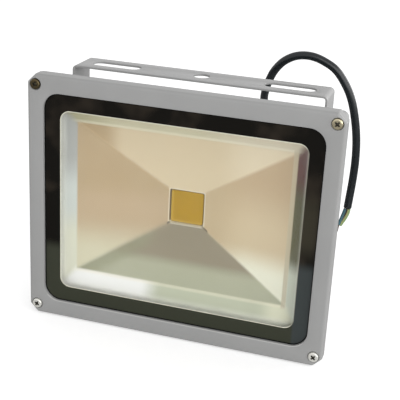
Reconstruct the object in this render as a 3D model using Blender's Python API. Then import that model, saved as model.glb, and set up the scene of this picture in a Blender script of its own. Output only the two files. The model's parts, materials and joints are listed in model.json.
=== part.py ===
"""LED floodlight: a cast lamp head that tilts in a folded U-shaped bracket.

Units are metres, +Z is up. The origin is the middle of the bracket's mounting face, on the
axis of its round hole. The lamp shines along -Y, and +X is at the right of someone facing it.

Every piece of the head is drawn round the tilt axis, which is the X axis of the head's own
empty. A depth is a distance behind the front face of the frame.
"""

import math
from typing import NamedTuple

import bmesh
import bpy
from mathutils import Matrix, Vector

# Clearance between pieces that rest on each other or pass through each other
GAP = 0.0003
# How far one shape reaches into another that it is united with
BITE = 0.001

# Face frame, a shallow casting with a rounded front edge and cut-off corners
FRAME_WIDTH = 0.225
FRAME_HEIGHT = 0.185
CORNER_CUT = 0.0068
CORNER_BLEND = 0.0015
FRAME_WALL = 0.0025
FRAME_FILLET = 0.003
LIP_THICKNESS = 0.0023
SIDE_MARGIN = 0.012
TOP_MARGIN = 0.0126
OPENING_CORNER = 0.012
EDGE_BREAK = 0.0004
RIB_THICKNESS = 0.0015

# Screws that hold the frame to the housing
FRAME_SCREW_SIDE_INSET = 0.0062
FRAME_SCREW_TOP_INSET = 0.0074
FRAME_SCREW_RADIUS = 0.002
FRAME_SCREW_HEAD_RADIUS = 0.0037
FRAME_SCREW_HEAD_HEIGHT = 0.0024
FRAME_SCREW_LENGTH = 0.016
RECESS_DEPTH = 0.0016
RECESS_CLEARANCE = 0.0004
PAD_WALL = 0.0004

# Glass and the silicone seal round it
GLASS_THICKNESS = 0.004
GLASS_OVERLAP = 0.0035
SEAL_THICKNESS = 0.0021
SEAL_EDGE = 0.0009
SEAL_REACH = 0.0105

# Reflector, a folded sheet: flange, steep rim, four shallow facets, square hole
SHEET_THICKNESS = 0.0006
MOUTH_INSET = 0.0092
MOUTH_CORNER = 0.009
REFLECTOR_FLANGE = 0.0035
RIM_RUN_SIDE = 0.0116
RIM_RUN_TOP = 0.0133
RIM_DROP = 0.0074
FACET_DROP = 0.0117
APERTURE = 0.0264
FOLD_CORNER = 0.0012

# LED module
LED_SIZE = 0.0245
LED_RECESS = 0.0002
DAM_WIDTH = 0.0029
DAM_HEIGHT = 0.0018
PLATE_WIDTH = 0.052
PLATE_HEIGHT = 0.040
PLATE_THICKNESS = 0.0015
PAD_THICKNESS = 0.0004
LED_SCREW_INSET = 0.004
LED_SCREW_RADIUS = 0.0015
LED_SCREW_HEAD_RADIUS = 0.0027
LED_SCREW_HEAD_HEIGHT = 0.0017
LED_SCREW_LENGTH = 0.006
LEAD_RADIUS = 0.001
LEAD_HOLE_CLEARANCE = 0.003
LEAD_HOLE_DROP = 0.011
LEAD_HOLE_RADIUS = 0.002

# Cast housing
FLANGE_THICKNESS = 0.003
FLANGE_INSET = 0.0005
LEDGE_WIDTH = 0.0026
LEDGE_CLEARANCE = 0.0006
BODY_INSET = 0.0104
BODY_WALL = 0.0035
BODY_TAPER = 0.0031
BODY_CORNER = 0.009
SHOULDER_DROP = 0.0057
FLOOR_THICKNESS = 0.005
BACK_FILLET = 0.0015
REAR_BOSS_WALL = 0.0022
REAR_BOSS_HEIGHT = 0.0078

# Cooling fins on the back of the housing
FIN_PITCH = 0.0083
FIN_THICKNESS = 0.0022
CHEEK_THICKNESS = 0.003
FIN_HEIGHT = 0.021
FIN_SLOPE = 0.003
FIN_TIP_RADIUS = 0.004
FIN_TO_HOOD = 0.002

# Driver's hood on the back
HOOD_WIDTH = 0.112
HOOD_HEIGHT = 0.084
HOOD_DEPTH = 0.039
HOOD_WALL = 0.0028
HOOD_CORNER = 0.010
HOOD_DRAFT = 0.0015
HOOD_FILLET = 0.004
HOOD_FLANGE = 0.006
HOOD_FLANGE_THICKNESS = 0.003
HOOD_FLANGE_CORNER = 0.008
HOOD_GASKET_THICKNESS = 0.0018
HOOD_SCREW_INSET = 0.0055
HOOD_SCREW_RADIUS = 0.002
HOOD_SCREW_HEAD_RADIUS = 0.0036
HOOD_SCREW_HEAD_HEIGHT = 0.0024
HOOD_SCREW_LENGTH = 0.008

# Driver and its terminals inside the hood
DRIVER_END_CLEARANCE = 0.0037
DRIVER_HEIGHT = 0.040
DRIVER_DEPTH = 0.026
DRIVER_CORNER = 0.003
DRIVER_CLEARANCE = 0.0027
TAB_LENGTH = 0.008
TAB_WIDTH = 0.018
TAB_THICKNESS = 0.002
DRIVER_SCREW_RADIUS = 0.0017
DRIVER_SCREW_HEAD_RADIUS = 0.0031
DRIVER_SCREW_HEAD_HEIGHT = 0.002
DRIVER_SCREW_LENGTH = 0.0055
TERMINAL_LENGTH = 0.016
TERMINAL_HEIGHT = 0.018
TERMINAL_DEPTH = 0.013
TERMINAL_FROM_MIDDLE = 0.016
TERMINAL_CLEARANCE = 0.0037
DRIVER_LEAD_REACH = 0.0077
DRIVER_LEAD_PITCH = 0.005
EARTH_FROM_SIDE = 0.010
EARTH_FROM_BOTTOM = 0.012
LUG_THICKNESS = 0.0008
LUG_RADIUS = 0.004
LUG_LENGTH = 0.010
EARTH_SCREW_RADIUS = 0.002
EARTH_SCREW_HEAD_RADIUS = 0.0035
EARTH_SCREW_HEAD_HEIGHT = 0.0024
EARTH_SCREW_LENGTH = 0.0045

# Cable gland in the back of the hood
GLAND_FROM_SIDE = 0.028
GLAND_FROM_BOTTOM = 0.016
GLAND_THREAD_RADIUS = 0.006
GLAND_ACROSS_FLATS = 0.015
GLAND_WASHER_THICKNESS = 0.0012
GLAND_WASHER_WIDTH = 0.0014
GLAND_HEX_HEIGHT = 0.005
GLAND_SPIGOT = 0.0118
GLAND_COLLAR_RADIUS = 0.0056
GLAND_COLLAR_HEIGHT = 0.0072
GLAND_SEAL_WALL = 0.0015
NUT_HEX_HEIGHT = 0.0068
NUT_LENGTH = 0.016
NUT_MOUTH_LENGTH = 0.0018
NUT_NOSE_RADIUS = 0.0048
LOCKNUT_HEIGHT = 0.0045

# Mains cable and its cores
CABLE_RADIUS = 0.0031
CABLE_TAIL = 0.014
CORE_RADIUS = 0.0012

# Mounting bracket, a folded steel strip
BRACKET_THICKNESS = 0.0015
BRACKET_WIDTH = 0.028
BRACKET_RISE = 0.0008
BRACKET_CLEARANCE = 0.0015
BEND_INNER = 0.0032
ROUND_HOLE = 0.012
SLOT_WIDTH = 0.012
SLOT_LENGTH = 0.037
SLOT_CENTRE = 0.0642

# Tilt pivot: a bolt, a spring washer and a flat washer on each side
PIVOT_BEHIND_FLOOR = 0.0086
BOLT_RADIUS = 0.004
BOLT_LENGTH = 0.020
BOLT_ACROSS_FLATS = 0.013
BOLT_HEAD_HEIGHT = 0.0053
BOSS_RADIUS = 0.010
BOSS_FLOOR = 0.003
BOSS_FOOT = 0.003
SIDE_PAD_LENGTH = 0.0195
SIDE_PAD_SUNK = 0.0037
SIDE_PAD_STEP = 0.0005
FLAT_WASHER_RADIUS = 0.0085
FLAT_WASHER_THICKNESS = 0.0016
SPRING_WASHER_RADIUS = 0.007
SPRING_WASHER_THICKNESS = 0.002
SPRING_WASHER_SPLIT = 0.0012

# Smoothness of the meshes
CORNER_STEPS = 5
ROUND_STEPS = 18
SMALL_STEPS = 12
TIP_STEPS = 2
BEND_STEPS = 4
SHARP_ANGLE = math.radians(32)

# Opening, screw places and the sizes that follow the opening
OPENING_X = FRAME_WIDTH / 2 - SIDE_MARGIN
OPENING_Z = FRAME_HEIGHT / 2 - TOP_MARGIN
GLASS_X = OPENING_X + GLASS_OVERLAP
GLASS_Z = OPENING_Z + GLASS_OVERLAP
GLASS_CORNER = OPENING_CORNER + GLASS_OVERLAP
FRAME_SCREW_X = FRAME_WIDTH / 2 - FRAME_SCREW_SIDE_INSET
FRAME_SCREW_Z = FRAME_HEIGHT / 2 - FRAME_SCREW_TOP_INSET
MOUTH_X = OPENING_X - MOUTH_INSET
MOUTH_Z = OPENING_Z - MOUTH_INSET
BODY_X = OPENING_X - BODY_INSET
BODY_Z = OPENING_Z - BODY_INSET
LEAD_HOLE_X = PLATE_WIDTH / 2 + LEAD_HOLE_CLEARANCE

# Places inside and on the back of the hood, measured from its walls
HOOD_ROOM = HOOD_HEIGHT / 2 - HOOD_WALL - HOOD_DRAFT
DRIVER_REACH = HOOD_WIDTH / 2 - HOOD_WALL - HOOD_DRAFT - DRIVER_END_CLEARANCE
DRIVER_LENGTH = 2 * (DRIVER_REACH - TAB_LENGTH)
DRIVER_RISE = HOOD_ROOM - DRIVER_CLEARANCE - DRIVER_HEIGHT / 2
TERMINAL_X = -TERMINAL_FROM_MIDDLE
TERMINAL_Z = TERMINAL_CLEARANCE + TERMINAL_HEIGHT / 2 - HOOD_ROOM
EARTH_X = HOOD_WIDTH / 2 - EARTH_FROM_SIDE
EARTH_Z = EARTH_FROM_BOTTOM - HOOD_HEIGHT / 2
GLAND_X = HOOD_WIDTH / 2 - GLAND_FROM_SIDE
GLAND_Z = GLAND_FROM_BOTTOM - HOOD_HEIGHT / 2

# Depths behind the front face, from front to back
GLASS_FRONT = LIP_THICKNESS + GAP
GLASS_BACK = GLASS_FRONT + GLASS_THICKNESS
SEAL_BACK = GLASS_BACK + GAP + SEAL_THICKNESS
HOUSING_FRONT = SEAL_BACK + GAP
FRAME_BACK = HOUSING_FRONT - GAP
RIM_BOTTOM = HOUSING_FRONT + RIM_DROP
APERTURE_FRONT = RIM_BOTTOM + FACET_DROP
DAM_FRONT = APERTURE_FRONT + SHEET_THICKNESS + GAP
PLATE_FRONT = DAM_FRONT + DAM_HEIGHT + GAP
PLATE_BACK = PLATE_FRONT + PLATE_THICKNESS
PAD_FRONT = PLATE_BACK + GAP
FLOOR_FRONT = PAD_FRONT + PAD_THICKNESS + GAP
FLOOR_BACK = FLOOR_FRONT + FLOOR_THICKNESS
FIN_TIP = FLOOR_BACK + FIN_HEIGHT
GASKET_FRONT = FLOOR_BACK + GAP
HOOD_FRONT = GASKET_FRONT + HOOD_GASKET_THICKNESS + GAP
HOOD_BACK = HOOD_FRONT + HOOD_DEPTH
GLAND_WASHER_FRONT = HOOD_BACK + GAP
GLAND_BODY_FRONT = GLAND_WASHER_FRONT + GLAND_WASHER_THICKNESS + GAP
GLAND_COLLAR_FRONT = GLAND_BODY_FRONT + GLAND_HEX_HEIGHT
NUT_FRONT = GLAND_COLLAR_FRONT + GAP
NUT_BACK = NUT_FRONT + NUT_LENGTH

# Tilt axis, and the bracket that carries it
PIVOT_DEPTH = FLOOR_BACK + PIVOT_BEHIND_FLOOR
ARM_INNER = BODY_X + BRACKET_CLEARANCE
ARM_OUTER = ARM_INNER + BRACKET_THICKNESS
BRACKET_HEIGHT = FRAME_HEIGHT / 2 + BRACKET_RISE

# Points that the free cable passes through, from the gland to its cut end, as x, y and z
# from the tilt axis. The first three lie on the gland's axis.
CABLE_EXIT = Vector((GLAND_X, NUT_BACK - PIVOT_DEPTH, GLAND_Z))
CABLE_ROUTE = (
    CABLE_EXIT + Vector((0.0, GAP, 0.0)),
    CABLE_EXIT + Vector((0.0, 0.0100, 0.0)),
    CABLE_EXIT + Vector((0.0, 0.0200, 0.0)),
    Vector((0.0278, 0.0900, -0.0225)),
    Vector((0.0275, 0.1000, -0.0125)),
    Vector((0.0272, 0.1042, 0.0020)),
    Vector((0.0270, 0.1030, 0.0200)),
    Vector((0.0268, 0.0965, 0.0390)),
    Vector((0.0275, 0.0835, 0.0597)),
    Vector((0.0298, 0.0765, 0.0690)),
    Vector((0.0338, 0.0695, 0.0794)),
    Vector((0.0383, 0.0655, 0.0882)),
    Vector((0.0450, 0.0635, 0.0961)),
    Vector((0.0530, 0.0635, 0.1008)),
    Vector((0.0606, 0.0645, 0.1022)),
    Vector((0.0682, 0.0655, 0.1014)),
    Vector((0.0760, 0.0665, 0.0984)),
    Vector((0.0842, 0.0675, 0.0933)),
    Vector((0.0929, 0.0685, 0.0820)),
    Vector((0.0980, 0.0695, 0.0713)),
    Vector((0.1022, 0.0703, 0.0560)),
    Vector((0.1048, 0.0705, 0.0405)),
    Vector((0.1058, 0.0705, 0.0245)),
    Vector((0.1055, 0.0700, 0.0081)),
    Vector((0.1047, 0.0687, -0.0060)),
    Vector((0.1042, 0.0675, -0.0143)),
)


class Screw(NamedTuple):
    """Sizes of a pan-head screw, and the number of facets round it."""

    radius: float
    head_radius: float
    head_height: float
    length: float
    steps: int


FRAME_SCREW = Screw(FRAME_SCREW_RADIUS, FRAME_SCREW_HEAD_RADIUS, FRAME_SCREW_HEAD_HEIGHT,
                    FRAME_SCREW_LENGTH, 14)
LED_SCREW = Screw(LED_SCREW_RADIUS, LED_SCREW_HEAD_RADIUS, LED_SCREW_HEAD_HEIGHT,
                  LED_SCREW_LENGTH, 10)
HOOD_SCREW = Screw(HOOD_SCREW_RADIUS, HOOD_SCREW_HEAD_RADIUS, HOOD_SCREW_HEAD_HEIGHT,
                   HOOD_SCREW_LENGTH, 12)
DRIVER_SCREW = Screw(DRIVER_SCREW_RADIUS, DRIVER_SCREW_HEAD_RADIUS, DRIVER_SCREW_HEAD_HEIGHT,
                     DRIVER_SCREW_LENGTH, 10)
EARTH_SCREW = Screw(EARTH_SCREW_RADIUS, EARTH_SCREW_HEAD_RADIUS, EARTH_SCREW_HEAD_HEIGHT,
                    EARTH_SCREW_LENGTH, 12)


def clear_scene():
    """Remove every object that is already in the scene."""
    for item in list(bpy.data.objects):
        bpy.data.objects.remove(item)


def finish(name, colour, roughness, metallic=0.0, transmission=0.0):
    """A material with one Principled shader."""
    material = bpy.data.materials.new(name)
    material.use_nodes = True
    shader = material.node_tree.nodes["Principled BSDF"]
    shader.inputs["Base Color"].default_value = (*colour, 1.0)
    shader.inputs["Roughness"].default_value = roughness
    shader.inputs["Metallic"].default_value = metallic
    shader.inputs["Transmission Weight"].default_value = transmission
    material.diffuse_color = (*colour, 1.0)
    return material


def new_mesh(name, bm, material=None):
    """Turn a bmesh into a mesh with smooth round faces, and free the bmesh."""
    mesh = bpy.data.meshes.new(name)
    bm.normal_update()
    bmesh.ops.recalc_face_normals(bm, faces=bm.faces)
    bm.to_mesh(mesh)
    bm.free()
    mesh.shade_smooth()
    mesh.set_sharp_from_angle(angle=SHARP_ANGLE)
    if material is not None:
        mesh.materials.append(material)
    return mesh


def new_object(name, data, parent):
    """Put a mesh or a curve in the scene under its parent."""
    item = bpy.data.objects.new(name, data)
    item.parent = parent
    bpy.context.scene.collection.objects.link(item)
    return item


def new_piece(name, bm, material, parent):
    """Turn a bmesh into a named object under its parent."""
    return new_object(name, new_mesh(name, bm, material), parent)


def shape_with(target, tool, operation):
    """Cut an object out of a piece, or unite them, and leave the tool hidden."""
    tool.hide_render = True
    tool.display_type = "WIRE"
    modifier = target.modifiers.new(operation.title(), "BOOLEAN")
    modifier.operation = operation
    modifier.solver = "EXACT"
    modifier.object = tool


def shape(target, tools, operation):
    """Cut a bmesh out of a piece, or unite them."""
    tool = new_piece(target.name + "_" + operation.lower(), tools, None, target.parent)
    shape_with(target, tool, operation)


def joined(parts):
    """One bmesh that holds several separate bodies."""
    whole = bmesh.new()
    for part in parts:
        mesh = bpy.data.meshes.new("part")
        part.to_mesh(mesh)
        part.free()
        whole.from_mesh(mesh)
        bpy.data.meshes.remove(mesh)
    return whole


def rounded_loop(half_x, half_z, radius, depth, steps=CORNER_STEPS):
    """Points round a rectangle with round corners, all at one depth."""
    points = []
    for turn, (side_x, side_z) in enumerate(((1, 1), (-1, 1), (-1, -1), (1, -1))):
        for step in range(steps + 1):
            angle = math.radians(90) * (turn + step / steps)
            x = side_x * (half_x - radius) + radius * math.cos(angle)
            z = side_z * (half_z - radius) + radius * math.sin(angle)
            points.append(Vector((x, depth - PIVOT_DEPTH, z)))
    return points


def outline_loop(inset, depth):
    """Points round the frame's outline, or round one that is inset evenly from it.

    The corners are cut off at 45 degrees, and each cut blends into the sides.
    """
    blend = max(CORNER_BLEND - inset, EDGE_BREAK)
    cut = CORNER_CUT - inset * (2 - math.sqrt(2))
    near = blend
    far = cut + blend * math.tan(math.radians(22.5))
    steps = CORNER_STEPS // 2
    points = []
    for turn, (side_x, side_z) in enumerate(((1, 1), (-1, 1), (-1, -1), (1, -1))):
        reaches = ((near, far), (far, near)) if turn % 2 == 0 else ((far, near), (near, far))
        for half, (reach_x, reach_z) in enumerate(reaches):
            centre_x = side_x * (FRAME_WIDTH / 2 - inset - reach_x)
            centre_z = side_z * (FRAME_HEIGHT / 2 - inset - reach_z)
            for step in range(steps + 1):
                angle = math.radians(90 * turn + 45 * half + 45 * step / steps)
                points.append(Vector((centre_x + blend * math.cos(angle), depth - PIVOT_DEPTH,
                                      centre_z + blend * math.sin(angle))))
    return points


def skinned(loops, ring=False):
    """A closed solid through loops of points: with end caps, or as a ring."""
    bm = bmesh.new()
    rows = [[bm.verts.new(point) for point in loop] for loop in loops]
    pairs = list(zip(rows, rows[1:]))
    if ring:
        pairs.append((rows[-1], rows[0]))
    else:
        bm.faces.new(rows[0])
        bm.faces.new(rows[-1])
    for near, far in pairs:
        for i, corner in enumerate(near):
            following = (i + 1) % len(near)
            bm.faces.new((corner, near[following], far[following], far[i]))
    bmesh.ops.recalc_face_normals(bm, faces=bm.faces)
    return bm


def revolved(profile, steps):
    """A solid of revolution about the Y axis, from pairs of radius and distance along it.

    A profile that stays off the axis is closed into a ring.
    """
    bm = bmesh.new()
    verts = [bm.verts.new((radius, along, 0.0)) for radius, along in profile]
    edges = [bm.edges.new(pair) for pair in zip(verts, verts[1:])]
    if profile[0][0] > 0.0 and profile[-1][0] > 0.0:
        edges.append(bm.edges.new((verts[-1], verts[0])))
    bmesh.ops.spin(bm, geom=verts + edges, cent=(0, 0, 0), axis=(0, 1, 0), dvec=(0, 0, 0),
                   angle=math.radians(360), steps=steps, use_merge=True)
    bmesh.ops.remove_doubles(bm, verts=bm.verts, dist=1e-6)
    bmesh.ops.recalc_face_normals(bm, faces=bm.faces)
    return bm


def turned(profile, steps=ROUND_STEPS, x=0.0, z=0.0, sideways=0):
    """A solid of revolution on the head.

    Its axis runs backwards at x and z, with the profile's distances as depths. When sideways
    is 1 or -1 it is the tilt axis instead, with distances measured that way from the middle.
    """
    bm = revolved(profile, steps)
    if sideways:
        bmesh.ops.rotate(bm, verts=bm.verts, cent=(0, 0, 0),
                         matrix=Matrix.Rotation(math.radians(-90 * sideways), 3, "Z"))
    else:
        bmesh.ops.translate(bm, verts=bm.verts, vec=(x, -PIVOT_DEPTH, z))
    return bm


def prism(outline, along):
    """A closed solid: a flat outline of points drawn out along a vector."""
    bm = bmesh.new()
    face = bm.faces.new([bm.verts.new(point) for point in outline])
    drawn = bmesh.ops.extrude_face_region(bm, geom=[face])["geom"]
    tips = [item for item in drawn if isinstance(item, bmesh.types.BMVert)]
    bmesh.ops.translate(bm, verts=tips, vec=along)
    bmesh.ops.recalc_face_normals(bm, faces=bm.faces)
    return bm


def block(low, high):
    """A box between two corners, given as x, depth and z."""
    bm = bmesh.new()
    bmesh.ops.create_cube(bm, size=1.0)
    size = Vector(high) - Vector(low)
    centre = (Vector(high) + Vector(low)) / 2 - Vector((0.0, PIVOT_DEPTH, 0.0))
    bmesh.ops.scale(bm, verts=bm.verts, vec=size)
    bmesh.ops.translate(bm, verts=bm.verts, vec=centre)
    return bm


def smooth_route(points, spacing):
    """Points at an even spacing along a smooth curve through the given points."""
    padded = [points[0] * 2 - points[1], *points, points[-1] * 2 - points[-2]]
    fine = []
    for before, start, end, after in zip(padded, padded[1:], padded[2:], padded[3:]):
        near = math.sqrt((start - before).length)
        span = math.sqrt((end - start).length)
        far = math.sqrt((after - end).length)
        chord = (end - start) / span
        lead = ((start - before) / near - (end - before) / (near + span) + chord) * span
        trail = (chord - (after - start) / (span + far) + (after - end) / far) * span
        for step in range(24):
            t = step / 24
            bend = start * (2 * t**3 - 3 * t**2 + 1) + end * (3 * t**2 - 2 * t**3)
            fine.append(bend + lead * (t**3 - 2 * t**2 + t) + trail * (t**3 - t**2))
    fine.append(points[-1])
    travelled = [0.0]
    for here, there in zip(fine, fine[1:]):
        travelled.append(travelled[-1] + (there - here).length)
    count = max(2, round(travelled[-1] / spacing) + 1)
    route = []
    segment = 0
    for index in range(count):
        target = travelled[-1] * index / (count - 1)
        while segment < len(fine) - 2 and travelled[segment + 1] < target:
            segment += 1
        part = (target - travelled[segment]) / (travelled[segment + 1] - travelled[segment])
        route.append(fine[segment].lerp(fine[segment + 1], part))
    return route


def tube(name, points, radius, material, parent, spacing, sides_step=2):
    """A round wire or cable along a smooth curve, with closed ends."""
    curve = bpy.data.curves.new(name, "CURVE")
    curve.dimensions = "3D"
    curve.bevel_depth = radius
    curve.bevel_resolution = sides_step
    curve.use_fill_caps = True
    spline = curve.splines.new("POLY")
    route = smooth_route([Vector(point) for point in points], spacing)
    spline.points.add(len(route) - 1)
    for knot, place in zip(spline.points, route):
        knot.co = (*place, 1.0)
    curve.materials.append(material)
    return new_object(name, curve, parent)


def inside(x, depth, z):
    """A point of the head given by its depth."""
    return Vector((x, depth - PIVOT_DEPTH, z))


def corners(x, z):
    """The four places with the same distances from the middle."""
    return [(side_x * x, side_z * z) for side_x in (1, -1) for side_z in (1, -1)]


def pan_screw(screw):
    """A pan-head screw with its seat at the origin and its shank along +Y."""
    top = -screw.head_height
    profile = [
        (0.0, top),
        (screw.head_radius * 0.62, top * 0.93),
        (screw.head_radius * 0.92, top * 0.62),
        (screw.head_radius, top * 0.2),
        (screw.head_radius, 0.0),
        (screw.radius, 0.0),
        (screw.radius, screw.length - screw.radius * 0.5),
        (screw.radius * 0.6, screw.length),
        (0.0, screw.length),
    ]
    return revolved(profile, screw.steps)


def cross_recess(screw):
    """The cross-shaped driver recess of a screw, as a cutter."""
    arm = screw.head_radius * 0.52
    half = screw.head_radius * 0.13
    outline = []
    for turn in range(4):
        spin = Matrix.Rotation(math.radians(90 * turn), 3, "Y")
        for x, z in ((arm, half), (arm, -half), (half, -half)):
            outline.append(spin @ Vector((x, -screw.head_height - BITE, z)))
    return prism(outline, (0.0, screw.head_height * 0.6 + BITE, 0.0))


def add_screws(name, screw, seat, places, material, head, from_back=False, recessed=True):
    """Equal screws at several places: each is an object, and all share one mesh."""
    mesh = new_mesh(name, pan_screw(screw), material)
    cross = new_mesh(name + "_cross", cross_recess(screw)) if recessed else None
    for number, (x, z) in enumerate(places, 1):
        copies = [new_object(f"{name}_{number}", mesh, head)]
        if recessed:
            copies.append(new_object(f"{name}_{number}_cross", cross, head))
        for item in copies:
            item.location = inside(x, seat, z)
            item.rotation_euler.z = math.radians(180) if from_back else 0.0
        if recessed:
            shape_with(*copies, "DIFFERENCE")


def hole(radius, start, end, x, z, steps=SMALL_STEPS):
    """A round cutter between two depths."""
    return turned([(0.0, start), (radius, start), (radius, end), (0.0, end)], steps, x, z)


def make_bracket(finishes):
    """The U-shaped bracket: a flat strip is cut out, then folded at two bends."""
    outer_bend = BEND_INNER + BRACKET_THICKNESS
    straight = ARM_OUTER - outer_bend
    bend_length = (BEND_INNER + BRACKET_THICKNESS / 2) * math.radians(90)
    pivot_at = straight + bend_length + BRACKET_HEIGHT - outer_bend
    end_radius = BRACKET_WIDTH / 2

    def arc(bm, centre, radius, first, sweep, steps):
        """Points of an arc in the flat strip."""
        points = []
        for step in range(steps + 1):
            angle = math.radians(first + sweep * step / steps)
            place = (centre + radius * math.cos(angle), radius * math.sin(angle), 0.0)
            points.append(bm.verts.new(place))
        return points

    bm = bmesh.new()
    outline = arc(bm, pivot_at, end_radius, -90, 180, ROUND_STEPS // 2)
    outline += arc(bm, -pivot_at, end_radius, 90, 180, ROUND_STEPS // 2)
    loops = [outline]
    for side in (1, -1):
        straight_run = SLOT_LENGTH / 2 - SLOT_WIDTH / 2
        slot = arc(bm, side * SLOT_CENTRE + straight_run, SLOT_WIDTH / 2, -90, 180, 8)
        slot += arc(bm, side * SLOT_CENTRE - straight_run, SLOT_WIDTH / 2, 90, 180, 8)
        loops.append(slot)
        loops.append(arc(bm, side * pivot_at, BOLT_RADIUS + GAP, 0, 360, ROUND_STEPS)[:-1])
    loops.append(arc(bm, 0.0, ROUND_HOLE / 2, 0, 360, ROUND_STEPS)[:-1])
    for loop in loops:
        for here, there in zip(loop, loop[1:] + loop[:1]):
            bm.edges.new((here, there))
    for stray in [vert for vert in bm.verts if not vert.link_edges]:
        bm.verts.remove(stray)
    bmesh.ops.triangle_fill(bm, use_beauty=True, edges=bm.edges[:])
    for side in (1, -1):
        for step in range(BEND_STEPS + 1):
            line = side * (straight + bend_length * step / BEND_STEPS)
            geometry = bm.verts[:] + bm.edges[:] + bm.faces[:]
            bmesh.ops.bisect_plane(bm, geom=geometry, dist=1e-7,
                                   plane_co=(line, 0, 0), plane_no=(1, 0, 0))
    drawn = bmesh.ops.extrude_face_region(bm, geom=bm.faces[:])["geom"]
    inner = [item for item in drawn if isinstance(item, bmesh.types.BMVert)]
    bmesh.ops.translate(bm, verts=inner, vec=(0, 0, BRACKET_THICKNESS))
    for vert in bm.verts:
        along, across, sunk = vert.co
        side = math.copysign(1.0, along)
        beyond = abs(along) - straight
        if beyond <= 0.0:
            vert.co = (along, across, -sunk)
        elif beyond <= bend_length:
            angle = math.radians(90) * beyond / bend_length
            reach = outer_bend - sunk
            x = straight + reach * math.sin(angle)
            vert.co = (side * x, across, reach * math.cos(angle) - outer_bend)
        else:
            vert.co = (side * (ARM_OUTER - sunk), across, bend_length - beyond - outer_bend)
    return new_piece("mounting_bracket", bm, finishes["painted_steel"], None)


def make_frame(head, finishes):
    """The face frame: a thin ring with a round front edge, an outer wall and a glass rib."""
    def from_opening(outset, depth):
        return rounded_loop(OPENING_X + outset, OPENING_Z + outset, OPENING_CORNER + outset, depth)

    rib_inner = GLASS_OVERLAP + GAP + SEAL_EDGE + GAP
    rib_back = GLASS_BACK
    loops = [from_opening(0.0, EDGE_BREAK), from_opening(EDGE_BREAK, 0.0)]
    for step in range(4):
        angle = math.radians(90) * step / 3
        inset = FRAME_FILLET * (1 - math.sin(angle))
        loops.append(outline_loop(inset, FRAME_FILLET * (1 - math.cos(angle))))
    loops += [
        outline_loop(0.0, FRAME_BACK - EDGE_BREAK),
        outline_loop(EDGE_BREAK, FRAME_BACK),
        outline_loop(FRAME_WALL, FRAME_BACK),
        outline_loop(FRAME_WALL, LIP_THICKNESS),
        from_opening(rib_inner + RIB_THICKNESS, LIP_THICKNESS),
        from_opening(rib_inner + RIB_THICKNESS, rib_back),
        from_opening(rib_inner, rib_back),
        from_opening(rib_inner, LIP_THICKNESS),
        from_opening(0.0, LIP_THICKNESS),
    ]
    frame = new_piece("front_frame", skinned(loops, ring=True), finishes["painted_cast"], head)
    recess_radius = FRAME_SCREW_HEAD_RADIUS + RECESS_CLEARANCE
    pad_front = LIP_THICKNESS - BITE / 2
    pads = [hole(recess_radius + PAD_WALL, pad_front, FRAME_BACK, x, z, 16)
            for x, z in corners(FRAME_SCREW_X, FRAME_SCREW_Z)]
    shape(frame, joined(pads), "UNION")
    bore = FRAME_SCREW_RADIUS + GAP
    cuts = [turned([(0.0, -BITE), (recess_radius, -BITE), (recess_radius, RECESS_DEPTH),
                    (bore, RECESS_DEPTH), (bore, FRAME_BACK + BITE), (0.0, FRAME_BACK + BITE)],
                   16, x, z)
            for x, z in corners(FRAME_SCREW_X, FRAME_SCREW_Z)]
    shape(frame, joined(cuts), "DIFFERENCE")

    add_screws("frame_screw", FRAME_SCREW, RECESS_DEPTH - GAP,
               corners(FRAME_SCREW_X, FRAME_SCREW_Z), finishes["zinc"], head)


def make_glass(head, finishes):
    """The pane and the silicone seal that wraps its edge and back."""

    def pane(grown, depth):
        return rounded_loop(GLASS_X + grown, GLASS_Z + grown, GLASS_CORNER + grown, depth)

    loops = [
        pane(-EDGE_BREAK, GLASS_FRONT),
        pane(0.0, GLASS_FRONT + EDGE_BREAK),
        pane(0.0, GLASS_BACK - EDGE_BREAK),
        pane(-EDGE_BREAK, GLASS_BACK),
    ]
    new_piece("front_glass", skinned(loops), finishes["glass"], head)
    section = [
        pane(GAP, GLASS_FRONT),
        pane(GAP + SEAL_EDGE, GLASS_FRONT),
        pane(GAP + SEAL_EDGE, SEAL_BACK),
        pane(-SEAL_REACH, SEAL_BACK),
        pane(-SEAL_REACH, GLASS_BACK + GAP),
        pane(GAP, GLASS_BACK + GAP),
    ]
    new_piece("glass_seal", skinned(section, ring=True), finishes["silicone"], head)


def make_reflector(head, finishes):
    """The folded reflector: its front skin, then its back skin one sheet behind."""
    half_hole = APERTURE / 2
    folds = (
        (half_hole, half_hole, FOLD_CORNER, APERTURE_FRONT),
        (MOUTH_X - RIM_RUN_SIDE, MOUTH_Z - RIM_RUN_TOP, FOLD_CORNER, RIM_BOTTOM),
        (MOUTH_X, MOUTH_Z, MOUTH_CORNER, HOUSING_FRONT),
        (MOUTH_X + REFLECTOR_FLANGE, MOUTH_Z + REFLECTOR_FLANGE,
         MOUTH_CORNER + REFLECTOR_FLANGE, HOUSING_FRONT),
    )
    front = [rounded_loop(x, z, radius, depth) for x, z, radius, depth in folds]
    back = [rounded_loop(x, z, radius, depth + SHEET_THICKNESS) for x, z, radius, depth in folds]
    bm = skinned(front + back[::-1], ring=True)
    new_piece("reflector", bm, finishes["bright_sheet"], head)


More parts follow.
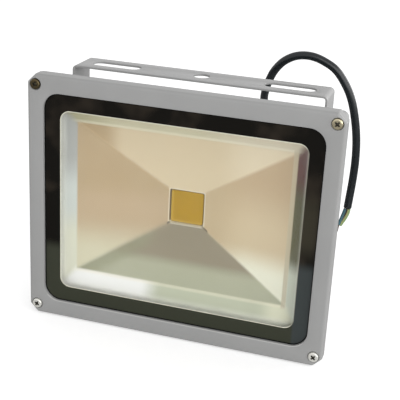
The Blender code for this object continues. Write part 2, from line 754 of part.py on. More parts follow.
def make_led(head, finishes):
    """The LED module on the housing floor: plate, dam, emitting square, pad and screws."""
    half_x = PLATE_WIDTH / 2
    half_z = PLATE_HEIGHT / 2
    screw_x = half_x - LED_SCREW_INSET
    screw_z = half_z - LED_SCREW_INSET
    half_led = LED_SIZE / 2
    half_dam = half_led + GAP + DAM_WIDTH
    plate_loops = [rounded_loop(half_x, half_z, LED_SCREW_INSET / 2, depth, 3)
                   for depth in (PLATE_FRONT, PLATE_BACK)]
    plate = new_piece("led_plate", skinned(plate_loops), finishes["led_metal"], head)
    bore = LED_SCREW_RADIUS + GAP
    cuts = [hole(bore, PLATE_FRONT - BITE, PLATE_BACK + BITE, x, z)
            for x, z in corners(screw_x, screw_z)]
    shape(plate, joined(cuts), "DIFFERENCE")

    dam_back = PLATE_FRONT - GAP
    section = [
        rounded_loop(half_led + GAP, half_led + GAP, DAM_WIDTH / 4, DAM_FRONT, 3),
        rounded_loop(half_dam, half_dam, DAM_WIDTH / 2, DAM_FRONT, 3),
        rounded_loop(half_dam, half_dam, DAM_WIDTH / 2, dam_back, 3),
        rounded_loop(half_led + GAP, half_led + GAP, DAM_WIDTH / 4, dam_back, 3),
    ]
    new_piece("led_dam", skinned(section, ring=True), finishes["white_plastic"], head)
    square = [rounded_loop(half_led, half_led, DAM_WIDTH / 4, depth, 3)
              for depth in (DAM_FRONT + LED_RECESS, dam_back)]
    new_piece("led_phosphor", skinned(square), finishes["phosphor"], head)

    pad_loops = [rounded_loop(half_x, half_z, LED_SCREW_INSET / 2, depth, 3)
                 for depth in (PAD_FRONT, PAD_FRONT + PAD_THICKNESS)]
    pad = new_piece("thermal_pad", skinned(pad_loops), finishes["thermal_pad"], head)
    cuts = [hole(bore, PAD_FRONT - BITE, PAD_FRONT + PAD_THICKNESS + BITE, x, z)
            for x, z in corners(screw_x, screw_z)]
    shape(pad, joined(cuts), "DIFFERENCE")

    add_screws("led_screw", LED_SCREW, PLATE_FRONT - GAP, corners(screw_x, screw_z),
               finishes["zinc"], head, recessed=False)

    driver_foot = DRIVER_RISE - DRIVER_HEIGHT / 2 - GAP
    on_plate = PLATE_FRONT - GAP - LEAD_RADIUS
    for colour, side in (("red", 1), ("black", -1)):
        hole_x = side * LEAD_HOLE_X
        route = (
            inside(side * (half_dam + GAP), on_plate, 0.0),
            inside(side * (half_dam + GAP + 0.003), on_plate, 0.0),
            inside(side * (half_x - 0.002), on_plate, -0.002),
            inside(side * (LEAD_HOLE_X - 0.0005), on_plate + 0.0005, -LEAD_HOLE_DROP * 0.6),
            inside(hole_x, FLOOR_FRONT, -LEAD_HOLE_DROP),
            inside(hole_x, FLOOR_BACK + 0.001, -LEAD_HOLE_DROP),
            inside(hole_x, FLOOR_BACK + 0.006, driver_foot - 0.003),
            inside(hole_x, FLOOR_BACK + 0.006, driver_foot),
        )
        tube("led_lead_" + colour, route, LEAD_RADIUS, finishes["wire_" + colour], head, 0.003, 1)


def fin_outline(low, high, x, thickness, slope_low, slope_high):
    """Side view of a fin between two heights, with rounded tips, as points at one x."""
    points = [inside(x - thickness / 2, FLOOR_BACK - BITE, low)]
    tip_radius = min(FIN_TIP_RADIUS, (high - low - slope_low - slope_high) * 0.45)
    turns = ((low + slope_low, 1, 180), (high - slope_high, -1, 90))
    for edge, side, first in turns:
        centre_z = edge + side * tip_radius
        for step in range(TIP_STEPS + 1):
            angle = math.radians(first - 90 * step / TIP_STEPS)
            depth = FIN_TIP - tip_radius + tip_radius * math.sin(angle)
            z = centre_z + tip_radius * math.cos(angle)
            points.append(inside(x - thickness / 2, depth, z))
    points.append(inside(x - thickness / 2, FLOOR_BACK - BITE, high))
    return points


def make_fins():
    """All fins of the housing: full height at the sides, short above and below the hood."""
    edge_x = BODY_X - BODY_TAPER - BACK_FILLET
    edge_z = BODY_Z - BODY_TAPER - BACK_FILLET
    hood_x = HOOD_WIDTH / 2 + HOOD_FLANGE + FIN_TO_HOOD
    hood_z = HOOD_HEIGHT / 2 + HOOD_FLANGE + FIN_TO_HOOD
    count = int((edge_x - CHEEK_THICKNESS / 2) / FIN_PITCH)
    fins = []
    for index in range(-count, count + 1):
        x = index * FIN_PITCH
        thickness = CHEEK_THICKNESS if abs(index) == count else FIN_THICKNESS
        draw = (thickness, 0.0, 0.0)
        if abs(x) - thickness / 2 > hood_x:
            outline = fin_outline(-edge_z, edge_z, x, thickness, FIN_SLOPE, FIN_SLOPE)
            fins.append(prism(outline, draw))
        else:
            outline = fin_outline(hood_z, edge_z, x, thickness, 0.0, FIN_SLOPE)
            fins.append(prism(outline, draw))
            outline = fin_outline(-edge_z, -hood_z, x, thickness, FIN_SLOPE, 0.0)
            fins.append(prism(outline, draw))
    return joined(fins)


def half_round(x, depth, radius, toward):
    """Points of a half circle at one x that bulges backwards (1) or forwards (-1)."""
    points = []
    for step in range(SMALL_STEPS + 1):
        angle = math.radians(180) * step / SMALL_STEPS
        reach = toward * radius * math.sin(angle)
        points.append(inside(x, depth + reach, -toward * radius * math.cos(angle)))
    return points


def make_housing(head, finishes):
    """The cast housing: a flanged dish, fins, screw bosses and the two pivot bosses."""
    flange_back = HOUSING_FRONT + FLANGE_THICKNESS
    shoulder = flange_back + SHOULDER_DROP
    ledge_outer = REFLECTOR_FLANGE + LEDGE_CLEARANCE
    ledge_inner = ledge_outer - LEDGE_WIDTH
    ledge_depth = HOUSING_FRONT + SHEET_THICKNESS + GAP

    def body(grown, depth):
        return rounded_loop(BODY_X + grown, BODY_Z + grown, BODY_CORNER + grown, depth)

    def mouth(grown, depth):
        return rounded_loop(MOUTH_X + grown, MOUTH_Z + grown, MOUTH_CORNER + grown, depth)

    loops = [
        body(-BODY_WALL - BODY_TAPER, FLOOR_FRONT),
        body(-BODY_WALL, shoulder),
        mouth(ledge_inner, ledge_depth),
        mouth(ledge_outer, ledge_depth),
        mouth(ledge_outer, HOUSING_FRONT),
        outline_loop(FLANGE_INSET, HOUSING_FRONT),
        outline_loop(FLANGE_INSET, flange_back),
        mouth(ledge_inner + BODY_WALL, flange_back),
        body(0.0, shoulder),
        body(-BODY_TAPER, FLOOR_BACK - BACK_FILLET),
        body(-BODY_TAPER - BACK_FILLET, FLOOR_BACK),
    ]
    housing = new_piece("rear_housing", skinned(loops), finishes["painted_cast"], head)
    shape(housing, make_fins(), "UNION")

    boss_end = ARM_INNER - GAP
    bolt_tip = ARM_OUTER + 3 * GAP + FLAT_WASHER_THICKNESS + SPRING_WASHER_THICKNESS - BOLT_LENGTH
    boss_start = bolt_tip - GAP - BOSS_FLOOR
    rear_boss = FRAME_SCREW_RADIUS + REAR_BOSS_WALL
    rear_boss_end = flange_back + REAR_BOSS_HEIGHT
    bosses = []
    pads = []
    for side in (1, -1):
        lug = [inside(side * boss_start, FLOOR_BACK - BITE, -BOSS_RADIUS - BOSS_FOOT)]
        lug += half_round(side * boss_start, PIVOT_DEPTH, BOSS_RADIUS, 1)
        lug.append(inside(side * boss_start, FLOOR_BACK - BITE, BOSS_RADIUS + BOSS_FOOT))
        bosses.append(prism(lug, (side * (boss_end - boss_start), 0.0, 0.0)))
        pad_start = boss_end - SIDE_PAD_SUNK - SIDE_PAD_STEP
        radius = BOSS_RADIUS - SIDE_PAD_STEP
        pad = half_round(side * pad_start, PIVOT_DEPTH, radius, 1)
        pad += half_round(side * pad_start, PIVOT_DEPTH - SIDE_PAD_LENGTH, radius, -1)
        pads.append(prism(pad, (side * SIDE_PAD_SUNK, 0.0, 0.0)))
    bosses += [hole(rear_boss, flange_back - BITE, rear_boss_end, x, z)
               for x, z in corners(FRAME_SCREW_X, FRAME_SCREW_Z)]
    shape(housing, joined(pads), "UNION")
    shape(housing, joined(bosses), "UNION")

    bolt_bore = BOLT_RADIUS + GAP
    cuts = [turned([(0.0, bolt_tip - GAP), (bolt_bore, bolt_tip - GAP),
                    (bolt_bore, boss_end + BITE), (0.0, boss_end + BITE)],
                   ROUND_STEPS, sideways=side) for side in (1, -1)]
    frame_screw_tip = RECESS_DEPTH - GAP + FRAME_SCREW_LENGTH
    cuts += [hole(FRAME_SCREW_RADIUS + GAP, HOUSING_FRONT - BITE, frame_screw_tip + GAP, x, z)
             for x, z in corners(FRAME_SCREW_X, FRAME_SCREW_Z)]
    cuts += [hole(LED_SCREW_RADIUS + GAP, FLOOR_FRONT - BITE,
                  PLATE_FRONT - GAP + LED_SCREW_LENGTH + GAP, x, z)
             for x, z in corners(PLATE_WIDTH / 2 - LED_SCREW_INSET,
                                 PLATE_HEIGHT / 2 - LED_SCREW_INSET)]
    hood_screw_tip = HOOD_FRONT + HOOD_FLANGE_THICKNESS + GAP - HOOD_SCREW_LENGTH
    cuts += [hole(HOOD_SCREW_RADIUS + GAP, hood_screw_tip - GAP, FLOOR_BACK + BITE, x, z)
             for x, z in corners(*hood_screw_place())]
    driver_screw_tip = FLOOR_BACK + GAP + TAB_THICKNESS + GAP - DRIVER_SCREW_LENGTH
    cuts += [hole(DRIVER_SCREW_RADIUS + GAP, driver_screw_tip - GAP, FLOOR_BACK + BITE, x,
                  DRIVER_RISE) for x in driver_screw_places()]
    earth_tip = FLOOR_BACK + GAP + LUG_THICKNESS + GAP - EARTH_SCREW_LENGTH
    cuts.append(hole(EARTH_SCREW_RADIUS + GAP, earth_tip - GAP, FLOOR_BACK + BITE,
                     EARTH_X, EARTH_Z))
    cuts += [hole(LEAD_HOLE_RADIUS, FLOOR_FRONT - BITE, FLOOR_BACK + BITE, side * LEAD_HOLE_X,
                  -LEAD_HOLE_DROP) for side in (1, -1)]
    shape(housing, joined(cuts), "DIFFERENCE")


def hood_screw_place():
    """How far the hood's screws lie from its middle, sideways and up."""
    x = HOOD_WIDTH / 2 + HOOD_FLANGE - HOOD_SCREW_INSET
    z = HOOD_HEIGHT / 2 + HOOD_FLANGE - HOOD_SCREW_INSET
    return x, z


def driver_screw_places():
    """Sideways places of the driver's two screws."""
    reach = DRIVER_REACH - TAB_LENGTH / 2
    return reach, -reach


def make_hood(head, finishes):
    """The driver's hood, the gasket under its flange and its four screws."""
    half_x = HOOD_WIDTH / 2
    half_z = HOOD_HEIGHT / 2

    def wall(grown, depth):
        radius = max(HOOD_CORNER + grown, EDGE_BREAK)
        return rounded_loop(half_x + grown, half_z + grown, radius, depth)

    def rim(grown, depth):
        reach = HOOD_FLANGE + grown
        return rounded_loop(half_x + reach, half_z + reach, HOOD_FLANGE_CORNER + grown, depth)

    flange_back = HOOD_FRONT + HOOD_FLANGE_THICKNESS
    loops = [
        wall(-HOOD_WALL - HOOD_DRAFT, HOOD_BACK - HOOD_WALL),
        wall(-HOOD_WALL, HOOD_FRONT),
        rim(0.0, HOOD_FRONT),
        rim(0.0, flange_back),
        wall(0.0, flange_back),
    ]
    for step in range(5):
        angle = math.radians(90) * step / 4
        inset = HOOD_DRAFT + HOOD_FILLET * (1 - math.cos(angle))
        loops.append(wall(-inset, HOOD_BACK - HOOD_FILLET * (1 - math.sin(angle))))
    hood = new_piece("driver_hood", skinned(loops), finishes["painted_cast"], head)
    places = corners(*hood_screw_place())
    cuts = [hole(HOOD_SCREW_RADIUS + GAP, HOOD_FRONT - BITE, flange_back + BITE, x, z)
            for x, z in places]
    cuts.append(hole(GLAND_THREAD_RADIUS + GAP, HOOD_BACK - HOOD_WALL - BITE, HOOD_BACK + BITE,
                     GLAND_X, GLAND_Z, ROUND_STEPS))
    shape(hood, joined(cuts), "DIFFERENCE")

    gasket_back = GASKET_FRONT + HOOD_GASKET_THICKNESS
    section = [
        wall(-HOOD_WALL, GASKET_FRONT),
        rim(-EDGE_BREAK, GASKET_FRONT),
        rim(-EDGE_BREAK, gasket_back),
        wall(-HOOD_WALL, gasket_back),
    ]
    gasket = new_piece("hood_gasket", skinned(section, ring=True), finishes["silicone"], head)
    cuts = [hole(HOOD_SCREW_RADIUS + GAP, GASKET_FRONT - BITE, gasket_back + BITE, x, z)
            for x, z in places]
    shape(gasket, joined(cuts), "DIFFERENCE")

    add_screws("hood_screw", HOOD_SCREW, flange_back + GAP, places, finishes["zinc"], head,
               from_back=True)


def make_driver(head, finishes):
    """The potted driver with a screw tab at each end, and its screws."""
    foot = FLOOR_BACK + GAP
    half_x = DRIVER_LENGTH / 2
    half_z = DRIVER_HEIGHT / 2
    lift = Vector((0.0, 0.0, DRIVER_RISE))
    loops = []
    for inset, depth in ((0.0, foot), (0.0, foot + DRIVER_DEPTH - EDGE_BREAK),
                         (EDGE_BREAK, foot + DRIVER_DEPTH)):
        loop = rounded_loop(half_x - inset, half_z - inset, DRIVER_CORNER, depth, 3)
        loops.append([point + lift for point in loop])
    driver = new_piece("led_driver", skinned(loops), finishes["driver_case"], head)
    tab = TAB_WIDTH / 2
    strip = block((-DRIVER_REACH, foot, DRIVER_RISE - tab),
                  (DRIVER_REACH, foot + TAB_THICKNESS, DRIVER_RISE + tab))
    shape(driver, strip, "UNION")
    cuts = [hole(DRIVER_SCREW_RADIUS + GAP, foot - BITE, foot + TAB_THICKNESS + BITE, x,
                 DRIVER_RISE) for x in driver_screw_places()]
    shape(driver, joined(cuts), "DIFFERENCE")
    places = [(x, DRIVER_RISE) for x in driver_screw_places()]
    add_screws("driver_screw", DRIVER_SCREW, foot + TAB_THICKNESS + GAP, places,
               finishes["zinc"], head, from_back=True, recessed=False)


def make_terminals(head, finishes):
    """The terminal block, the earth screw and its ring terminal."""
    foot = FLOOR_BACK + GAP
    low = (TERMINAL_X - TERMINAL_LENGTH / 2, foot, TERMINAL_Z - TERMINAL_HEIGHT / 2)
    high = (TERMINAL_X + TERMINAL_LENGTH / 2, foot + TERMINAL_DEPTH,
            TERMINAL_Z + TERMINAL_HEIGHT / 2)
    body = new_piece("terminal_block", block(low, high), finishes["white_plastic"], head)
    half_pitch = TERMINAL_HEIGHT / 4
    wells = [hole(half_pitch * 0.55, foot + TERMINAL_DEPTH * 0.6, foot + TERMINAL_DEPTH + BITE,
                  TERMINAL_X, TERMINAL_Z + side * half_pitch) for side in (1, -1)]
    shape(body, joined(wells), "DIFFERENCE")

    outline = []
    tongue = CORE_RADIUS + EDGE_BREAK
    start = math.asin(tongue / LUG_RADIUS)
    for step in range(SMALL_STEPS + 1):
        angle = math.radians(180) - start - (math.radians(360) - 2 * start) * step / SMALL_STEPS
        outline.append(inside(EARTH_X + LUG_RADIUS * math.cos(angle), foot,
                              EARTH_Z + LUG_RADIUS * math.sin(angle)))
    outline.append(inside(EARTH_X - LUG_LENGTH, foot, EARTH_Z - tongue))
    outline.append(inside(EARTH_X - LUG_LENGTH, foot, EARTH_Z + tongue))
    lug = new_piece("earth_terminal", prism(outline, (0.0, LUG_THICKNESS, 0.0)),
                    finishes["zinc"], head)
    cut = hole(EARTH_SCREW_RADIUS + GAP, foot - BITE, foot + LUG_THICKNESS + BITE,
               EARTH_X, EARTH_Z)
    shape(lug, cut, "DIFFERENCE")
    screw = new_piece("earth_screw", pan_screw(EARTH_SCREW), finishes["brass"], head)
    screw.location = inside(EARTH_X, foot + LUG_THICKNESS + GAP, EARTH_Z)
    screw.rotation_euler.z = math.radians(180)


def make_gland(head, finishes):
    """The cable gland: washer, body, seal, dome nut and the locknut inside the hood."""
    thread = GLAND_THREAD_RADIUS
    corner = GLAND_ACROSS_FLATS / math.sqrt(3)
    bore = CABLE_RADIUS + GAP
    inner_wall = HOOD_BACK - HOOD_WALL
    at = {"x": GLAND_X, "z": GLAND_Z}
    washer_back = GLAND_WASHER_FRONT + GLAND_WASHER_THICKNESS
    ring = [(thread + GAP, GLAND_WASHER_FRONT), (thread + GAP + GLAND_WASHER_WIDTH,
                                                 GLAND_WASHER_FRONT),
            (thread + GAP + GLAND_WASHER_WIDTH, washer_back), (thread + GAP, washer_back)]
    new_piece("gland_washer", turned(ring, **at), finishes["rubber"], head)

    spigot_front = GLAND_BODY_FRONT - GLAND_SPIGOT
    collar_back = GLAND_COLLAR_FRONT + GLAND_COLLAR_HEIGHT
    sleeve = [(bore, spigot_front), (thread, spigot_front), (thread, GLAND_BODY_FRONT + BITE),
              (GLAND_COLLAR_RADIUS, GLAND_BODY_FRONT + BITE), (GLAND_COLLAR_RADIUS, collar_back),
              (bore, collar_back)]
    body = new_piece("gland_body", turned(sleeve, **at), finishes["black_plastic"], head)
    hex_ring = [(bore + BITE, GLAND_BODY_FRONT), (corner, GLAND_BODY_FRONT),
                (corner, GLAND_COLLAR_FRONT), (bore + BITE, GLAND_COLLAR_FRONT)]
    shape(body, turned(hex_ring, 6, **at), "UNION")

    mouth_front = NUT_BACK - NUT_MOUTH_LENGTH
    seal_front = collar_back + GAP
    seal_back = mouth_front - GAP
    seal = [(bore, seal_front), (bore + GLAND_SEAL_WALL, seal_front),
            (bore + GLAND_SEAL_WALL, seal_back), (bore, seal_back)]
    new_piece("gland_seal", turned(seal, 16, **at), finishes["silicone"], head)

    cavity = max(GLAND_COLLAR_RADIUS, bore + GLAND_SEAL_WALL) + GAP
    hex_back = NUT_FRONT + NUT_HEX_HEIGHT
    shoulder = corner * 0.86
    dome = [(cavity, NUT_FRONT), (shoulder, NUT_FRONT), (shoulder, hex_back)]
    for step in range(1, 5):
        angle = math.radians(90) * step / 4
        reach = NUT_NOSE_RADIUS + (shoulder - NUT_NOSE_RADIUS) * math.cos(angle)
        dome.append((reach, hex_back + (NUT_BACK - hex_back) * math.sin(angle)))
    dome += [(bore, NUT_BACK), (bore, mouth_front), (cavity, mouth_front)]
    nut = new_piece("gland_nut", turned(dome, **at), finishes["black_plastic"], head)
    inner = (cavity / math.cos(math.radians(30)) + shoulder) / 2
    hex_ring = [(inner, NUT_FRONT), (corner, NUT_FRONT), (corner, hex_back), (inner, hex_back)]
    shape(nut, turned(hex_ring, 6, **at), "UNION")

    nut_back = inner_wall - GAP
    nut_front = nut_back - LOCKNUT_HEIGHT
    solid = [(0.0, nut_front), (corner, nut_front), (corner, nut_back), (0.0, nut_back)]
    piece = new_piece("gland_locknut", turned(solid, 6, **at), finishes["black_plastic"], head)
    cut = hole(thread + GAP, nut_front - BITE, nut_back + BITE, GLAND_X, GLAND_Z, ROUND_STEPS)
    shape(piece, cut, "DIFFERENCE")


def make_pivots(head, finishes):
    """Bolts and washers on the tilt axis, one set outside each arm of the bracket."""
    shank_bore = BOLT_RADIUS + GAP
    flat_in = ARM_OUTER + GAP
    flat_out = flat_in + FLAT_WASHER_THICKNESS
    spring_in = flat_out + GAP
    spring_out = spring_in + SPRING_WASHER_THICKNESS
    head_in = spring_out + GAP
    head_out = head_in + BOLT_HEAD_HEIGHT
    corner = BOLT_ACROSS_FLATS / math.sqrt(3)
    tip = head_in - BOLT_LENGTH
    for hand, side in (("right", 1), ("left", -1)):
        flat = [(shank_bore, flat_in), (FLAT_WASHER_RADIUS, flat_in),
                (FLAT_WASHER_RADIUS, flat_out), (shank_bore, flat_out)]
        new_piece("flat_washer_" + hand, turned(flat, sideways=side), finishes["zinc"], head)

        coil = [(shank_bore, spring_in), (SPRING_WASHER_RADIUS, spring_in),
                (SPRING_WASHER_RADIUS, spring_out), (shank_bore, spring_out)]
        spring = new_piece("spring_washer_" + hand, turned(coil, sideways=side),
                           finishes["zinc"], head)
        split = bmesh.new()
        bmesh.ops.create_cube(split, size=1.0)
        reach = SPRING_WASHER_RADIUS + BITE
        bmesh.ops.scale(split, verts=split.verts,
                        vec=(SPRING_WASHER_THICKNESS * 3, SPRING_WASHER_SPLIT, reach))
        bmesh.ops.rotate(split, verts=split.verts, matrix=Matrix.Rotation(side * 0.4, 3, "Z"))
        middle = side * (spring_in + spring_out) / 2
        bmesh.ops.translate(split, verts=split.verts, vec=(middle, 0.0, reach / 2))
        shape(spring, split, "DIFFERENCE")

        hexagon = [(0.0, head_in), (corner, head_in),
                   (corner, head_out - BOLT_HEAD_HEIGHT * 0.12), (corner * 0.9, head_out),
                   (0.0, head_out)]
        bolt = new_piece("pivot_bolt_" + hand, turned(hexagon, 6, sideways=side),
                         finishes["zinc"], head)
        shank = [(0.0, tip), (BOLT_RADIUS * 0.8, tip), (BOLT_RADIUS, tip + BOLT_RADIUS * 0.2),
                 (BOLT_RADIUS, head_in + BITE), (0.0, head_in + BITE)]
        shape(bolt, turned(shank, sideways=side), "UNION")


def make_cable(head, finishes):
    """The mains cable outside, its bare cores, and the cable and leads inside the hood."""
    spacing = CABLE_RADIUS * 4
    tube("mains_cable", CABLE_ROUTE, CABLE_RADIUS, finishes["rubber"], head, spacing, 3)
    end = CABLE_ROUTE[-1]
    lay = (2 * CORE_RADIUS + GAP) / math.sqrt(3)
    ends = (
        ("blue", (-lay, -lay * 0.5, -0.0006), (-0.0021, -0.0010, -0.0030),
         (-0.0034, -0.0018, -0.0078), (-0.0051, -0.0030, -0.0139)),
        ("earth", (lay, -lay * 0.6, -0.0006), (0.0012, -0.0009, -0.0036),
         (-0.0007, -0.0006, -0.0088), (-0.0040, -0.0010, -0.0152)),
        ("brown", (0.0, lay * 1.15, -0.0010), (-0.0014, 0.0024, -0.0050),
         (-0.0042, 0.0020, -0.0110), (-0.0061, 0.0010, -0.0165), (-0.0066, 0.0004, -0.0210)),
    )
    for colour, *offsets in ends:
        route = [end + Vector(offset) for offset in offsets]
        tube("cable_core_" + colour, route, CORE_RADIUS, finishes["wire_" + colour], head,
             CORE_RADIUS * 2, 1)

    tail_front = HOOD_BACK - CABLE_TAIL
    tube("inner_cable", (inside(GLAND_X, tail_front, GLAND_Z), inside(GLAND_X, NUT_BACK, GLAND_Z)),
         CABLE_RADIUS, finishes["rubber"], head, 1.0, 2)
    start = tail_front - GAP
    wired = FLOOR_BACK + GAP + TERMINAL_DEPTH / 2
    half_pitch = TERMINAL_HEIGHT / 4
    terminal_right = TERMINAL_X + TERMINAL_LENGTH / 2 + GAP
    terminal_left = TERMINAL_X - TERMINAL_LENGTH / 2 - GAP
    driver_foot = DRIVER_RISE - DRIVER_HEIGHT / 2 - GAP
    for colour, side, begin in (("brown", 1, (-lay * 0.5, lay * 0.87)),
                                ("blue", -1, (-lay * 0.5, -lay * 0.87))):
        x = GLAND_X + begin[0]
        z = GLAND_Z + begin[1]
        level = TERMINAL_Z + side * half_pitch
        route = (inside(x, start, z), inside(x, start - 0.005, z),
                 inside(x - 0.006, wired + 0.006, (z + level) / 2),
                 inside(x - 0.018, wired + 0.001, level),
                 inside(terminal_right + 0.004, wired, level),
                 inside(terminal_right, wired, level))
        tube("inner_core_" + colour, route, CORE_RADIUS, finishes["wire_" + colour], head,
             0.004, 1)
        reach = terminal_left - DRIVER_LEAD_REACH - (DRIVER_LEAD_PITCH if side < 0 else 0.0)
        bend = CORE_RADIUS * 2.5
        route = (inside(terminal_left, wired, level), inside(terminal_left - bend, wired, level),
                 inside(reach + bend / 4, wired + bend * 0.8, level + bend * 1.8),
                 inside(reach, wired + bend * 2, driver_foot - bend),
                 inside(reach, wired + bend * 2, driver_foot))
        tube("driver_lead_" + colour, route, CORE_RADIUS, finishes["wire_" + colour], head,
             0.003, 1)
    lug_end = EARTH_X - LUG_LENGTH
    lug_top = FLOOR_BACK + GAP + LUG_THICKNESS + GAP + CORE_RADIUS
    route = (inside(GLAND_X + lay, start, GLAND_Z), inside(GLAND_X + lay, start - 0.007, GLAND_Z),
             inside(GLAND_X + lay + 0.001, lug_top + 0.008, (GLAND_Z + EARTH_Z) / 2),
             inside(lug_end - 0.001, lug_top + 0.001, EARTH_Z),
             inside(lug_end + 0.0035, lug_top, EARTH_Z))
    tube("inner_core_earth", route, CORE_RADIUS, finishes["wire_earth"], head, 0.003, 1)


def make_finishes():
    """All materials by name."""
    return {
        "painted_cast": finish("painted_cast", (0.36, 0.36, 0.37), 0.45, 0.1),
        "painted_steel": finish("painted_steel", (0.38, 0.38, 0.39), 0.45, 0.1),
        "zinc": finish("zinc", (0.68, 0.66, 0.60), 0.28, 1.0),
        "brass": finish("brass", (0.72, 0.55, 0.25), 0.3, 1.0),
        "glass": finish("glass", (0.95, 0.97, 0.96), 0.03, 0.0, 1.0),
        "silicone": finish("silicone", (0.10, 0.10, 0.10), 0.7),
        "bright_sheet": finish("bright_sheet", (0.80, 0.76, 0.68), 0.2, 0.9),
        "led_metal": finish("led_metal", (0.75, 0.74, 0.72), 0.3, 1.0),
        "white_plastic": finish("white_plastic", (0.82, 0.81, 0.78), 0.5),
        "phosphor": finish("phosphor", (0.62, 0.42, 0.05), 0.6),
        "thermal_pad": finish("thermal_pad", (0.30, 0.30, 0.33), 0.8),
        "driver_case": finish("driver_case", (0.75, 0.75, 0.74), 0.4),
        "black_plastic": finish("black_plastic", (0.02, 0.02, 0.02), 0.45),
        "rubber": finish("rubber", (0.02, 0.022, 0.025), 0.5),
        "wire_red": finish("wire_red", (0.45, 0.02, 0.02), 0.45),
        "wire_black": finish("wire_black", (0.015, 0.015, 0.015), 0.45),
        "wire_brown": finish("wire_brown", (0.13, 0.055, 0.03), 0.45),
        "wire_blue": finish("wire_blue", (0.03, 0.16, 0.45), 0.45),
        "wire_earth": finish("wire_earth", (0.25, 0.45, 0.08), 0.45),
    }


def main():
    """Build the whole floodlight."""
    clear_scene()
    finishes = make_finishes()
    head = bpy.data.objects.new("tilt_axis", None)
    head.location = (0.0, 0.0, -BRACKET_HEIGHT)
    bpy.context.scene.collection.objects.link(head)
    make_bracket(finishes)
    make_frame(head, finishes)
    make_glass(head, finishes)
    make_reflector(head, finishes)
    make_led(head, finishes)
    make_housing(head, finishes)
    make_hood(head, finishes)
    make_driver(head, finishes)
    make_terminals(head, finishes)
    make_gland(head, finishes)
    make_pivots(head, finishes)
    make_cable(head, finishes)


main()
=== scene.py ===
"""Looks of the LED floodlight.

Smooth castings, glass print, reflector, fasteners, cable and finishes. Units are metres. The
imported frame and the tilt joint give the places: a depth is a distance behind the front face
of the frame, and x and z are measured from the middle of the window.
"""
import json
import logging
import math
from dataclasses import dataclass, field, replace
from enum import Enum
from typing import Iterable, NamedTuple, Sequence

import bmesh
import bpy
from mathutils import Matrix, Vector
from mathutils.geometry import interpolate_bezier


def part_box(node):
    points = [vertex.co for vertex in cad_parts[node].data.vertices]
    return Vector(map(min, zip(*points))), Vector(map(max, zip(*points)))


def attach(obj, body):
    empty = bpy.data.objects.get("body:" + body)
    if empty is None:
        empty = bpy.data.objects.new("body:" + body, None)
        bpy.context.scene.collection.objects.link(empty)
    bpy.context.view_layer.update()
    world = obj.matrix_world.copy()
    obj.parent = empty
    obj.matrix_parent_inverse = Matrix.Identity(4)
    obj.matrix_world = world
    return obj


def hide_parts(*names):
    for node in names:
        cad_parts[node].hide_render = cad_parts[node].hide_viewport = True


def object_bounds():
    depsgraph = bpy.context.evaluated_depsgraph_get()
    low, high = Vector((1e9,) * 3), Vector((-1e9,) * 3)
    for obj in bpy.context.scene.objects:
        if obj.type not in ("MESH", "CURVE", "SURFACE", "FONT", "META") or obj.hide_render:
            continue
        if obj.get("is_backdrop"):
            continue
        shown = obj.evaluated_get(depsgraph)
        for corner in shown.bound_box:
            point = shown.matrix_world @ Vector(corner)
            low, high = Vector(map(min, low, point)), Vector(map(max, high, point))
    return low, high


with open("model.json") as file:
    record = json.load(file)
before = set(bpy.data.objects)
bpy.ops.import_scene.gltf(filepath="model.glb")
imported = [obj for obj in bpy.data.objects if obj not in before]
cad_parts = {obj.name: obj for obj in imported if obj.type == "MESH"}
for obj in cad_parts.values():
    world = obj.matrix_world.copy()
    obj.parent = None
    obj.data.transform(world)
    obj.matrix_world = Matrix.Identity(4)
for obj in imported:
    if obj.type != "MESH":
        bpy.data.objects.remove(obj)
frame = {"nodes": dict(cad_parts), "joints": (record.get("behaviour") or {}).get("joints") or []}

LOG = logging.getLogger("floodlight")
CAD_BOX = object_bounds()

FRAME_LOW, FRAME_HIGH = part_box("front_frame")
FRONT = FRAME_LOW.y
HALF_X = (FRAME_HIGH.x - FRAME_LOW.x) / 2
HALF_Z = (FRAME_HIGH.z - FRAME_LOW.z) / 2
MIDDLE_Z = (FRAME_HIGH.z + FRAME_LOW.z) / 2
PIVOT = Vector(frame["joints"][0]["pos_m"])

GAP = 0.0003
OVERCUT = 0.002
WELD = 1e-6
FINE_WELD = 1e-7
ALIGNED = 0.99
QUARTER = math.radians(90)
FIRST, SECOND, THIRD = 0, 1, 2
CORNER_STEPS = 11
FILLET_STEPS = 8
ROUND_STEPS = 48
SMALL_STEPS = 32
PLACES = ((1, 1), (1, -1), (-1, 1), (-1, -1))

Colour = tuple[float, float, float]
Point = tuple[float, float, float]
Run = tuple[float, float]
Shape = bmesh.types.BMesh
Socket = bpy.types.NodeSocket


class Body(Enum):
    """The two bodies that the tilt joint joins."""

    BRACKET = "bracket"
    HEAD = "head"


class Slot(Enum):
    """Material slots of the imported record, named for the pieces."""

    CAST = "painted_cast"
    STEEL = "painted_steel"
    ZINC = "zinc"
    GLASS = "glass"
    SHEET = "bright_sheet"
    WHITE = "white_plastic"
    PHOSPHOR = "phosphor"
    BLACK = "black_plastic"
    RUBBER = "rubber"
    BROWN_WIRE = "wire_brown"
    BLUE_WIRE = "wire_blue"
    EARTH_WIRE = "wire_earth"


def linked(name: str, data: bpy.types.ID) -> bpy.types.Object:
    """Put an object with its data into the scene, and return it."""
    item = bpy.data.objects.new(name, data)
    bpy.context.scene.collection.objects.link(item)
    return item


def meshed(name: str, bm: Shape) -> bpy.types.Mesh:
    """Return a shape as a mesh, and free it."""
    mesh = bpy.data.meshes.new(name)
    bm.to_mesh(mesh)
    bm.free()
    return mesh


def at(x: float, depth: float, z: float) -> Vector:
    """Place a point by its distances from the window's middle and its depth."""
    return Vector((x, FRONT + depth, MIDDLE_Z + z))


